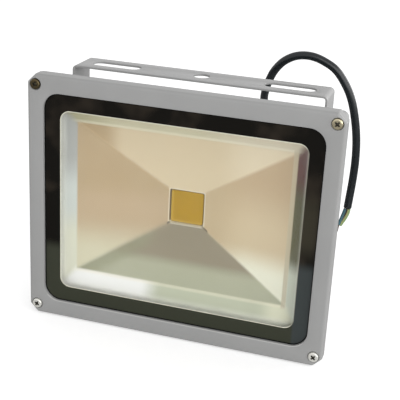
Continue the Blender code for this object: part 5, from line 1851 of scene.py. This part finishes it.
    def _pad(self, side: int) -> Shape:
        """Make the raised pad down the side of the dish, in front of a lug.

        Args:
            side: 1 for the right one, -1 for the left one.

        Returns:
            The pad.
        """
        x = side * (self.lug_end - self.pad_sunk - self.pad_step)
        outline = self._half_round(x, self.pivot_depth, self.pad_radius, 1)
        outline += self._half_round(x, self.pad_front, self.pad_radius, -1)
        return drawn_out(outline, Vector((side * self.pad_sunk, 0.0, 0.0)), edge=self.edge)

    def build(self, outline: Loop, screws: Sequence[Run]) -> None:
        """Build the housing.

        Args:
            outline: The frame's outline.
            screws: Places of the frame's screws.
        """
        shell = combined(self._dish(outline), joined(self._fins()), "UNION")
        shell = combined(shell, joined(self._pad(side) for side in (1, -1)), "UNION")
        back = self.front + self.flange
        boss = [(0.0, back - self.bite), (self.rear_boss, back - self.bite),
                (self.rear_boss, self.rear_boss_end - self.edge),
                (self.rear_boss - self.edge, self.rear_boss_end), (0.0, self.rear_boss_end)]
        bosses = [moved(turned(boss, SMALL_STEPS), at(x, 0.0, z)) for x, z in screws]
        bosses += [self._lug(side) for side in (1, -1)]
        shell = combined(shell, joined(bosses), "UNION")
        bore = rod(self.bolt_bore, self.bolt_tip, self.lug_end + self.bite)
        cuts = [moved(turned(bore, SMALL_STEPS), PIVOT, sideways(side)) for side in (1, -1)]
        shell = combined(shell, joined(cuts))
        self.shop.piece("finned_dish", shell, Slot.CAST, Finishes.CAST_PAINT,
                        ["rear_housing"])


@dataclass
class DriverHood:
    """The box on the back that holds the driver, and its four screws."""

    shop: Workshop
    half_x: float = 0.0560
    half_z: float = 0.0420
    corner: float = 0.0100
    front: float = 0.0413
    back: float = 0.0803
    wall: float = 0.0028
    draft: float = 0.0015
    fillet: float = 0.0040
    flange: float = 0.0060
    flange_thickness: float = 0.0030
    flange_corner: float = 0.0080
    edge: float = 0.0004
    screw_inset: float = 0.0055
    gland_x: float = 0.0280
    gland_z: float = -0.0260
    gland_hole: float = 0.0063
    root: tuple[Run, ...] = ((0.0014, 0.0), (0.0008, 0.0002), (0.0003, 0.0006), (0.0, 0.0014))
    back_margin: float = 0.0006
    screw: Screw = Screw(0.0020, 0.0036, 0.0024, 0.0080, Finishes.ZINC)
    angles: tuple[float, ...] = (10.0, 62.0, 35.0, 80.0)

    def _wall(self, grown: float, depth: float) -> Loop:
        """Return a loop of the box's wall."""
        return Loop(self.half_x + grown, self.half_z + grown,
                    max(self.corner + grown, self.edge), depth)

    def _rim(self, grown: float, depth: float) -> Loop:
        """Return a loop of the flange."""
        reach = self.flange + grown
        return Loop(self.half_x + reach, self.half_z + reach, self.flange_corner + grown, depth)

    def build(self) -> None:
        """Build the hood and its screws."""
        flange_back = self.front + self.flange_thickness
        loops = [self._wall(-self.wall - self.draft, self.back - self.wall),
                 self._wall(-self.wall, self.front),
                 self._rim(-self.edge, self.front), self._rim(0.0, self.front + self.edge),
                 self._rim(0.0, flange_back - self.edge), self._rim(-self.edge, flange_back)]
        loops += [self._wall(outset, flange_back + drop) for outset, drop in self.root]
        for sine, cosine in quarter():
            inset = self.draft + self.fillet * (1 - cosine)
            loops.append(self._wall(-inset, self.back - self.fillet * (1 - sine)))
        loops.append(self._wall(-self.draft - self.fillet - self.back_margin, self.back))
        hole = rod(self.gland_hole, self.back - self.wall - self.edge, self.back + self.edge)
        cut = moved(turned(hole), at(self.gland_x, 0.0, self.gland_z))
        self.shop.piece("driver_cover", combined(skinned(loops), cut), Slot.CAST,
                        Finishes.CAST_PAINT, ["driver_hood"])
        x = self.half_x + self.flange - self.screw_inset
        z = self.half_z + self.flange - self.screw_inset
        for number, ((side, up), angle) in enumerate(zip(PLACES, self.angles), 1):
            self.screw.build(self.shop, f"cover_screw_{number}",
                             at(side * x, flange_back + GAP, up * z), True, angle,
                             f"hood_screw_{number}")


@dataclass
class Gland:
    """The cable gland: a hexagonal base and a dome nut."""

    shop: Workshop
    flats: float = 0.0150
    bore: float = 0.0034
    base_front: float = 0.0821
    base_back: float = 0.0871
    thread: float = 0.0060
    spigot_front: float = 0.0703
    collar: float = 0.0056
    collar_back: float = 0.0943
    nut_front: float = 0.0874
    nut_hex: float = 0.0068
    nut_back: float = 0.1034
    mouth: float = 0.0018
    nose: float = 0.0048
    chamfer: float = 0.0009
    overlap: float = 0.001
    cutter_length: float = 0.2
    dome: float = 0.86
    dome_inset: float = 0.0005
    dome_drop: float = 0.0006
    dome_steps: int = 10
    lip: float = 0.0004
    proud: float = 0.0001

    def build(self, x: float, z: float) -> None:
        """Build the gland.

        Args:
            x: Its axis, sideways.
            z: Its axis, up.
        """
        place = at(x, 0.0, z)
        inside = self.base_front + self.overlap
        sleeve = [(self.bore, self.spigot_front), (self.thread, self.spigot_front),
                  (self.thread, inside), (self.collar, inside),
                  (self.collar, self.collar_back), (self.bore, self.collar_back)]
        nut = combined(hexagon(self.flats, self.base_front, self.base_back, self.chamfer),
                       turned(rod(self.bore + self.overlap, 0.0, self.cutter_length)))
        self.shop.piece("gland_base", moved(combined(turned(sleeve), nut, "UNION"), place),
                        Slot.BLACK, Finishes.BLACK, ["gland_body"])

        hex_back = self.nut_front + self.nut_hex
        front, start = self.nut_front + self.dome_inset, hex_back + self.dome_drop
        shoulder = self.flats / math.sqrt(3) * self.dome
        dome = [(0.0, front), (shoulder, front)]
        dome += [(self.nose + (shoulder - self.nose) * cosine,
                  start + (self.nut_back - start) * sine)
                 for sine, cosine in quarter(self.dome_steps)]
        dome.append((0.0, self.nut_back))
        cavity, bottom = self.collar + GAP, self.nut_back - self.mouth
        front, back = self.nut_front - self.overlap, self.nut_back + self.proud
        inside = [(0.0, front), (cavity, front), (cavity, bottom), (self.bore, bottom),
                  (self.bore, self.nut_back - self.lip), (self.bore + self.lip, back),
                  (0.0, back)]
        body = combined(hexagon(self.flats, self.nut_front, hex_back, self.chamfer),
                        turned(dome), "UNION")
        self.shop.piece("gland_cap", moved(combined(body, turned(inside)), place),
                        Slot.BLACK, Finishes.BLACK, ["gland_nut"])


@dataclass
class Pivot:
    """Bolt, spring washer and flat washer on each side of the bracket."""

    shop: Workshop
    bore: float = 0.0043
    flat_in: float = 0.0934
    flat_out: float = 0.0950
    flat_radius: float = 0.0085
    spring_in: float = 0.0953
    spring_out: float = 0.0973
    spring_radius: float = 0.0070
    split: float = 0.0012
    head_in: float = 0.0976
    head_height: float = 0.0053
    flats: float = 0.0130
    bolt_radius: float = 0.0040
    length: float = 0.0200
    edge: float = 0.0002
    split_depth: float = 0.008
    split_reach: float = 1.2
    split_lean: float = 0.4
    head_gap: float = 0.0003
    head_chamfer: float = 0.0011
    face: float = 0.46
    face_height: float = 0.0010
    tip: float = 0.2
    spins: Run = (11.0, 23.0)

    def _washer(self, radius: float, low: float, high: float) -> Shape:
        """Make a ring with broken edges.

        Args:
            radius: Its outer radius.
            low: Where it starts.
            high: Where it ends.

        Returns:
            The ring.
        """
        edge = self.edge
        return turned([(self.bore, low), (radius - edge, low), (radius, low + edge),
                       (radius, high - edge), (radius - edge, high), (self.bore, high)])

    def _spring(self, side: int) -> Shape:
        """Make a ring that a slanting gap splits.

        Args:
            side: 1 for a gap that leans one way, -1 for the other.

        Returns:
            The ring.
        """
        ring = self._washer(self.spring_radius, self.spring_in, self.spring_out)
        gap = bmesh.new()
        bmesh.ops.create_cube(gap, size=1.0)
        reach = self.spring_radius * self.split_reach
        bmesh.ops.scale(gap, verts=gap.verts, vec=(self.split, self.split_depth, reach))
        bmesh.ops.rotate(gap, verts=gap.verts,
                         matrix=Matrix.Rotation(side * self.split_lean, 3, "Z"))
        middle = (self.spring_in + self.spring_out) / 2
        bmesh.ops.translate(gap, verts=gap.verts, vec=(0.0, middle, reach / 2))
        return combined(ring, gap)

    def _bolt(self) -> Shape:
        """Make the bolt with its washer face, chamfered head and shank.

        Returns:
            The bolt.
        """
        start, high = self.head_in + self.head_gap, self.head_in + self.head_height
        head = hexagon(self.flats, start, high, self.head_chamfer)
        tip, radius = self.head_in - self.length, self.bolt_radius
        face, face_end = self.flats * self.face, self.head_in + self.face_height
        chamfer = radius * self.tip
        shank = turned([(0.0, tip), (radius - chamfer, tip), (radius, tip + chamfer),
                        (radius, self.head_in), (face, self.head_in), (face, face_end),
                        (0.0, face_end)])
        return combined(head, shank, "UNION")

    def build(self) -> None:
        """Build both sides."""
        for hand, side, spin in zip(("right", "left"), (1, -1), self.spins):
            turn = sideways(side)
            turned_bolt = turn @ Matrix.Rotation(math.radians(spin), 3, "Y")
            shapes = (
                ("plain_washer_", "flat_washer_", turn,
                 self._washer(self.flat_radius, self.flat_in, self.flat_out)),
                ("lock_washer_", "spring_washer_", turn, self._spring(side)),
                ("tilt_bolt_", "pivot_bolt_", turned_bolt, self._bolt()),
            )
            for name, solid, place, bm in shapes:
                self.shop.piece(name + hand, moved(bm, PIVOT, place), Slot.ZINC, Finishes.ZINC,
                                [solid + hand])


@dataclass
class Bracket:
    """The folded steel strip that carries the head."""

    shop: Workshop
    thickness: float = 0.0015
    width: float = 0.0280
    outer: float = 0.0931
    bend: float = 0.0018
    bend_steps: int = 10
    slot_middle: float = 0.0642
    slot_length: float = 0.0370
    slot_width: float = 0.0120
    round_hole: float = 0.0120
    pivot_hole: float = 0.0043
    edge: float = 0.00025
    end_steps: int = 14
    hole_steps: int = 9
    pivot_steps: int = 7
    sharp: float = 60.0

    def _stadium(self, middle: float, length: float, width: float, steps: int,
                 bm: Shape) -> None:
        """Add the edges of a hole or an outline with round ends.

        Args:
            middle: Where its middle lies along the strip.
            length: Its length.
            width: Its width, which equals the length of a round hole.
            steps: Edges in each quarter turn.
            bm: The bmesh that gets it.
        """
        loops = []
        straight = length - width
        for side in (1, -1) if straight > self.edge else (0,):
            centre = middle + side * straight / 2
            before = set(bm.edges)
            bmesh.ops.create_circle(bm, cap_ends=False, radius=width / 2, segments=steps * 4,
                                    matrix=Matrix.Translation((centre, 0.0, 0.0)))
            if not side:
                return
            ring = [one for one in bm.edges if one not in before]
            inner = [one for one in ring
                     if side * (sum(vert.co.x for vert in one.verts) / 2 - centre) < -WELD]
            bmesh.ops.delete(bm, geom=inner, context="EDGES")
            loops.append([vert for vert in {vert for one in ring if one.is_valid
                                            for vert in one.verts}
                          if abs(abs(vert.co.y) - width / 2) < WELD])
        for vert in loops[0]:
            other = min(loops[1], key=lambda one: abs(one.co.y - vert.co.y))
            bm.edges.new((vert, other))

    def build(self) -> None:
        """Cut the flat strip, break its edges and fold it."""
        outer_bend = self.bend + self.thickness
        straight = self.outer - outer_bend
        bend_length = (self.bend + self.thickness / 2) * QUARTER
        rise = -PIVOT.z
        pivot_at = straight + bend_length + rise - outer_bend
        bm = bmesh.new()
        hole, pivot = self.round_hole, 2 * self.pivot_hole
        self._stadium(0.0, 2 * pivot_at + self.width, self.width, self.end_steps, bm)
        self._stadium(0.0, hole, hole, self.hole_steps, bm)
        for side in (1, -1):
            self._stadium(side * self.slot_middle, self.slot_length, self.slot_width,
                          self.hole_steps, bm)
            self._stadium(side * pivot_at, pivot, pivot, self.pivot_steps, bm)
        bmesh.ops.triangle_fill(bm, use_beauty=True, use_dissolve=False, edges=bm.edges[:])
        drawn = bmesh.ops.extrude_face_region(bm, geom=bm.faces[:], use_keep_orig=True)["geom"]
        inner = [item for item in drawn if isinstance(item, bmesh.types.BMVert)]
        bmesh.ops.translate(bm, verts=inner, vec=(0.0, 0.0, self.thickness))
        bm.normal_update()
        bmesh.ops.recalc_face_normals(bm, faces=bm.faces)
        rims = [one for one in bm.edges if len(one.link_faces) == 2
                and one.calc_face_angle(0.0) > math.radians(self.sharp)]
        bevelled(bm, rims, self.edge, 2, "EDGES")
        for side in (1, -1):
            for step in range(self.bend_steps + 1):
                line = side * (straight + bend_length * step / self.bend_steps)
                geometry = bm.verts[:] + bm.edges[:] + bm.faces[:]
                bmesh.ops.bisect_plane(bm, geom=geometry, dist=FINE_WELD, plane_co=(line, 0, 0),
                                       plane_no=(1, 0, 0))
        for vert in bm.verts:
            along, across, sunk = vert.co
            side = math.copysign(1.0, along)
            beyond = abs(along) - straight
            if beyond <= 0.0:
                vert.co = (along, across, -sunk)
            elif beyond <= bend_length:
                angle = QUARTER * beyond / bend_length
                reach = outer_bend - sunk
                vert.co = (side * (straight + reach * math.sin(angle)), across,
                           reach * math.cos(angle) - outer_bend)
            else:
                vert.co = (side * (self.outer - sunk), across,
                           bend_length - beyond - outer_bend)
        self.shop.piece("bracket_strip", bm, Slot.STEEL, Finishes.STEEL_PAINT,
                        ["mounting_bracket"], Body.BRACKET)


@dataclass
class MainsCable:
    """The rubber cable from the gland to its cut end, and the three cores that stick out."""

    shop: Workshop
    radius: float = 0.0031
    sides: int = 28
    filler: float = 0.0024
    core_radius: float = 0.0012
    core_sides: int = 16
    core_steps: int = 8
    core_edge: float = 0.0001
    copper: float = 0.0006
    lay: float = 0.001559
    length: float = 0.328
    exit: Vector = field(default_factory=lambda: PIVOT + Vector((0.0280, 0.0562, -0.0260)))
    route: tuple[Point, ...] = (
        (0.0280, 0.0562, -0.0260), (0.0280, 0.0659, -0.0260), (0.0280, 0.0759, -0.0260),
        (0.0278, 0.0900, -0.0225), (0.0275, 0.1000, -0.0125), (0.0272, 0.1042, 0.0020),
        (0.0270, 0.1030, 0.0200), (0.0268, 0.0965, 0.0390), (0.0275, 0.0835, 0.0597),
        (0.0298, 0.0765, 0.0690), (0.0338, 0.0695, 0.0794), (0.0383, 0.0655, 0.0882),
        (0.0450, 0.0635, 0.0961), (0.0530, 0.0635, 0.1008), (0.0606, 0.0645, 0.1022),
        (0.0682, 0.0655, 0.1014), (0.0760, 0.0665, 0.0984), (0.0842, 0.0675, 0.0933),
        (0.0929, 0.0685, 0.0820), (0.0980, 0.0695, 0.0713), (0.1022, 0.0703, 0.0560),
        (0.1048, 0.0705, 0.0405), (0.1058, 0.0705, 0.0245), (0.1055, 0.0700, 0.0081),
        (0.1047, 0.0687, -0.0060), (0.1042, 0.0675, -0.0143))

    def _core(self, name: str, solid: str, slot: Slot, insulation: Finish,
              offsets: Sequence[Point], second: Finish | None = None) -> bpy.types.Object:
        """Build one core.

        Args:
            name: The piece's name.
            solid: The solid that it stands for.
            slot: The record's material slot.
            insulation: Its finish.
            offsets: Its route, from the cable's end.
            second: The other colour of a striped core.

        Returns:
            The piece.
        """
        end = PIVOT + Vector(self.route[-1])
        path = smooth_route([end + Vector(offset) for offset in offsets], self.core_steps)
        bm = swept(path, self.core_radius, self.core_sides, self.core_edge, self.copper,
                   striped=second is not None)
        finishes = [insulation, Finishes.COPPER] + ([second] if second else [])
        return self.shop.piece(name, bm, slot, finishes, [solid])

    def build(self) -> None:
        path = smooth_route([PIVOT + Vector(point) for point in self.route])
        bm = swept(path, self.radius, self.sides, core=self.filler)
        jacket = self.shop.piece("cable_jacket", bm, Slot.RUBBER,
                                 [Finishes.RUBBER, Finishes.FILLER], ["mains_cable"])
        lay = self.lay
        cores = [
            self._core("core_end_blue", "cable_core_blue", Slot.BLUE_WIRE, Finishes.BLUE,
                       ((-lay, -lay * 0.5, -0.0006), (-0.0021, -0.0010, -0.0030),
                        (-0.0034, -0.0018, -0.0078), (-0.0051, -0.0030, -0.0139))),
            self._core("core_end_earth", "cable_core_earth", Slot.EARTH_WIRE, Finishes.GREEN,
                       ((lay, -lay * 0.6, -0.0006), (0.0012, -0.0009, -0.0036),
                        (-0.0007, -0.0006, -0.0088), (-0.0040, -0.0010, -0.0152)),
                       Finishes.YELLOW),
            self._core("core_end_brown", "cable_core_brown", Slot.BROWN_WIRE, Finishes.BROWN,
                       ((0.0, lay * 1.15, -0.0010), (-0.0014, 0.0024, -0.0050),
                        (-0.0042, 0.0020, -0.0110), (-0.0061, 0.0010, -0.0165),
                        (-0.0066, 0.0004, -0.0210))),
        ]
        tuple(self.exit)


@dataclass
class Insides:
    """Solids that keep their own shape, nearly all of them hidden inside the head."""

    shop: Workshop

    def build(self) -> None:
        """Dress the solids."""
        led_screws = [f"led_screw_{number}" for number in range(1, 5)]
        dress = self.shop.dress
        dress(Finishes.SILICONE, "glass_seal", "hood_gasket", "gland_washer", "gland_seal")
        dress(Finishes.LED_METAL, "led_plate")
        dress(Finishes.PAD, "thermal_pad")
        dress(Finishes.ZINC, "driver_screw_1", "driver_screw_2", "earth_terminal", *led_screws)
        dress(Finishes.BRASS, "earth_screw")
        dress(Finishes.WHITE, "terminal_block")
        dress(Finishes.DRIVER, "led_driver")
        dress(Finishes.BLACK, "gland_locknut")
        dress(Finishes.RUBBER, "inner_cable")
        dress(Finishes.RED, "led_lead_red")
        dress(Finishes.BLACK_WIRE, "led_lead_black")
        dress(Finishes.BROWN, "inner_core_brown", "driver_lead_brown")
        dress(Finishes.BLUE, "inner_core_blue", "driver_lead_blue")
        dress(Finishes.GREEN, "inner_core_earth")


class Lamp(NamedTuple):
    """A square soft lamp: its name, its place, its side and its power in watts."""

    name: str
    place: Point
    size: float
    power: float


@dataclass
class Stage:
    """Floor, backdrop, lamps and camera. The camera stands where the photo's stood."""

    camera_place: Point = (0.192463, -0.646959, 0.165454)
    camera_turn: Point = (68.9442, -2.8843, 17.3723)
    lens: float = 87.658
    sensor: float = 36.0
    floor_drop: float = 0.0006
    floor_reach: float = 6.0
    floor_pale: float = 0.80
    floor_level: float = 0.42
    floor_roughness: float = 0.9
    mirrored_floor: float = 0.30
    mirrored_room: float = 0.85
    room: float = 0.72
    glow: float = 0.27
    lamps: tuple[Lamp, ...] = (
        Lamp("front_softbox", (1.5, -1.9, 0.7), 1.8, 18.0),
        Lamp("right_softbox", (2.7, -0.6, 0.9), 1.8, 22.0),
        Lamp("rear_softbox", (2.3, 1.9, 0.9), 1.8, 30.0))

    def build_camera(self) -> None:
        """Put the camera in place."""
        camera = bpy.data.cameras.new("photo_camera")
        camera.lens = self.lens
        camera.sensor_width = self.sensor
        camera.sensor_fit = "HORIZONTAL"
        holder = linked("photo_camera", camera)
        holder.location = self.camera_place
        holder.rotation_euler = [math.radians(angle) for angle in self.camera_turn]
        bpy.context.scene.camera = holder

    @staticmethod
    def _rays(nodes: Nodes) -> tuple[Socket, Socket]:
        """Tell rays apart.

        Args:
            nodes: The material's or the world's nodes.

        Returns:
            Masks of the rays that see a surface directly or through glass, and mirrored.
        """
        rays = nodes.add("LightPath")
        through = rays.outputs["Is Transmission Ray"]
        seen = nodes.math("MAXIMUM", rays.outputs["Is Camera Ray"], through)
        mirrored = nodes.math("SUBTRACT", rays.outputs["Is Glossy Ray"], through, clamp=True)
        return seen, mirrored

    def _floor(self) -> None:
        """Build a pale floor that looks white and keeps the lamp's shadow."""
        bm = bmesh.new()
        bmesh.ops.create_grid(bm, x_segments=1, y_segments=1, size=self.floor_reach)
        low = CAD_BOX[0].z - self.floor_drop
        bmesh.ops.translate(bm, verts=bm.verts, vec=(0.0, 0.0, low))
        floor = linked("floor", meshed("floor", bm))
        finish = Finish("pale_floor", (self.floor_pale,) * 3, self.floor_roughness)
        material, nodes, shader = finish.start()
        seen, mirrored = self._rays(nodes)
        pale = nodes.mix(mirrored, finish.colour, (self.mirrored_floor,) * 3)
        level = nodes.math("MULTIPLY_ADD", seen, self.floor_level - self.glow, self.glow)
        level = nodes.math("MULTIPLY_ADD", mirrored, -self.glow, level)
        nodes.set(shader, Base_Color=pale, Specular_IOR_Level=0.0,
                  Emission_Color=(1.0, 1.0, 1.0, 1.0), Emission_Strength=level)
        nodes.clear_where(shader, nodes.add("NewGeometry").outputs["Backfacing"])
        floor.data.materials.append(material)
        floor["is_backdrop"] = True

    def _world(self) -> None:
        """Build a pale world that lights softly and is white where it is seen."""
        world = bpy.data.worlds.new("pale_room")
        bpy.context.scene.world = world
        world.use_nodes = True
        nodes = Nodes(world.node_tree)
        backdrop = world.node_tree.nodes["Background"]
        seen, mirrored = self._rays(nodes)
        level = nodes.math("MULTIPLY_ADD", seen, 1.0 - self.room, self.room)
        level = nodes.math("MULTIPLY_ADD", mirrored, self.mirrored_room - self.room, level)
        nodes.set(backdrop, Color=(1.0, 1.0, 1.0, 1.0), Strength=level)

    @staticmethod
    def _lamp(lamp: Lamp) -> None:
        """Add a lamp that faces the middle of the head.

        Args:
            lamp: The lamp.
        """
        light = bpy.data.lights.new(lamp.name, "AREA")
        light.size = lamp.size
        light.energy = lamp.power
        holder = linked(lamp.name, light)
        holder.location = lamp.place
        ahead = Vector((0.0, 0.0, MIDDLE_Z)) - Vector(lamp.place)
        holder.rotation_euler = ahead.to_track_quat("-Z", "Y").to_euler()

    def build(self) -> None:
        """Build the floor, the world and the lamps."""
        self._floor()
        self._world()
        for lamp in self.lamps:
            self._lamp(lamp)
        bpy.context.scene.view_settings.view_transform = "Standard"


def main() -> None:
    """Build every sub-assembly in order."""
    logging.basicConfig(level=logging.INFO, format="%(name)s %(message)s")
    stage = Stage()
    stage.build_camera()
    shop = Workshop(Finishes())
    face = FaceFrame(shop)
    face.build()
    Window(shop).build(face.opening, face.opening_corner)
    FaceScrews(shop).build(face.screw_places())
    Reflector(shop).build()
    LedModule(shop).build()
    Housing(shop).build(face.outline, face.screw_places())
    hood = DriverHood(shop)
    hood.build()
    Gland(shop).build(hood.gland_x, hood.gland_z)
    Pivot(shop).build()
    Bracket(shop).build()
    MainsCable(shop).build()
    Insides(shop).build()
    stage.build()
    [[list(corner) for corner in box] for box in (CAD_BOX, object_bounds())]


if __name__ == "__main__":
    main()
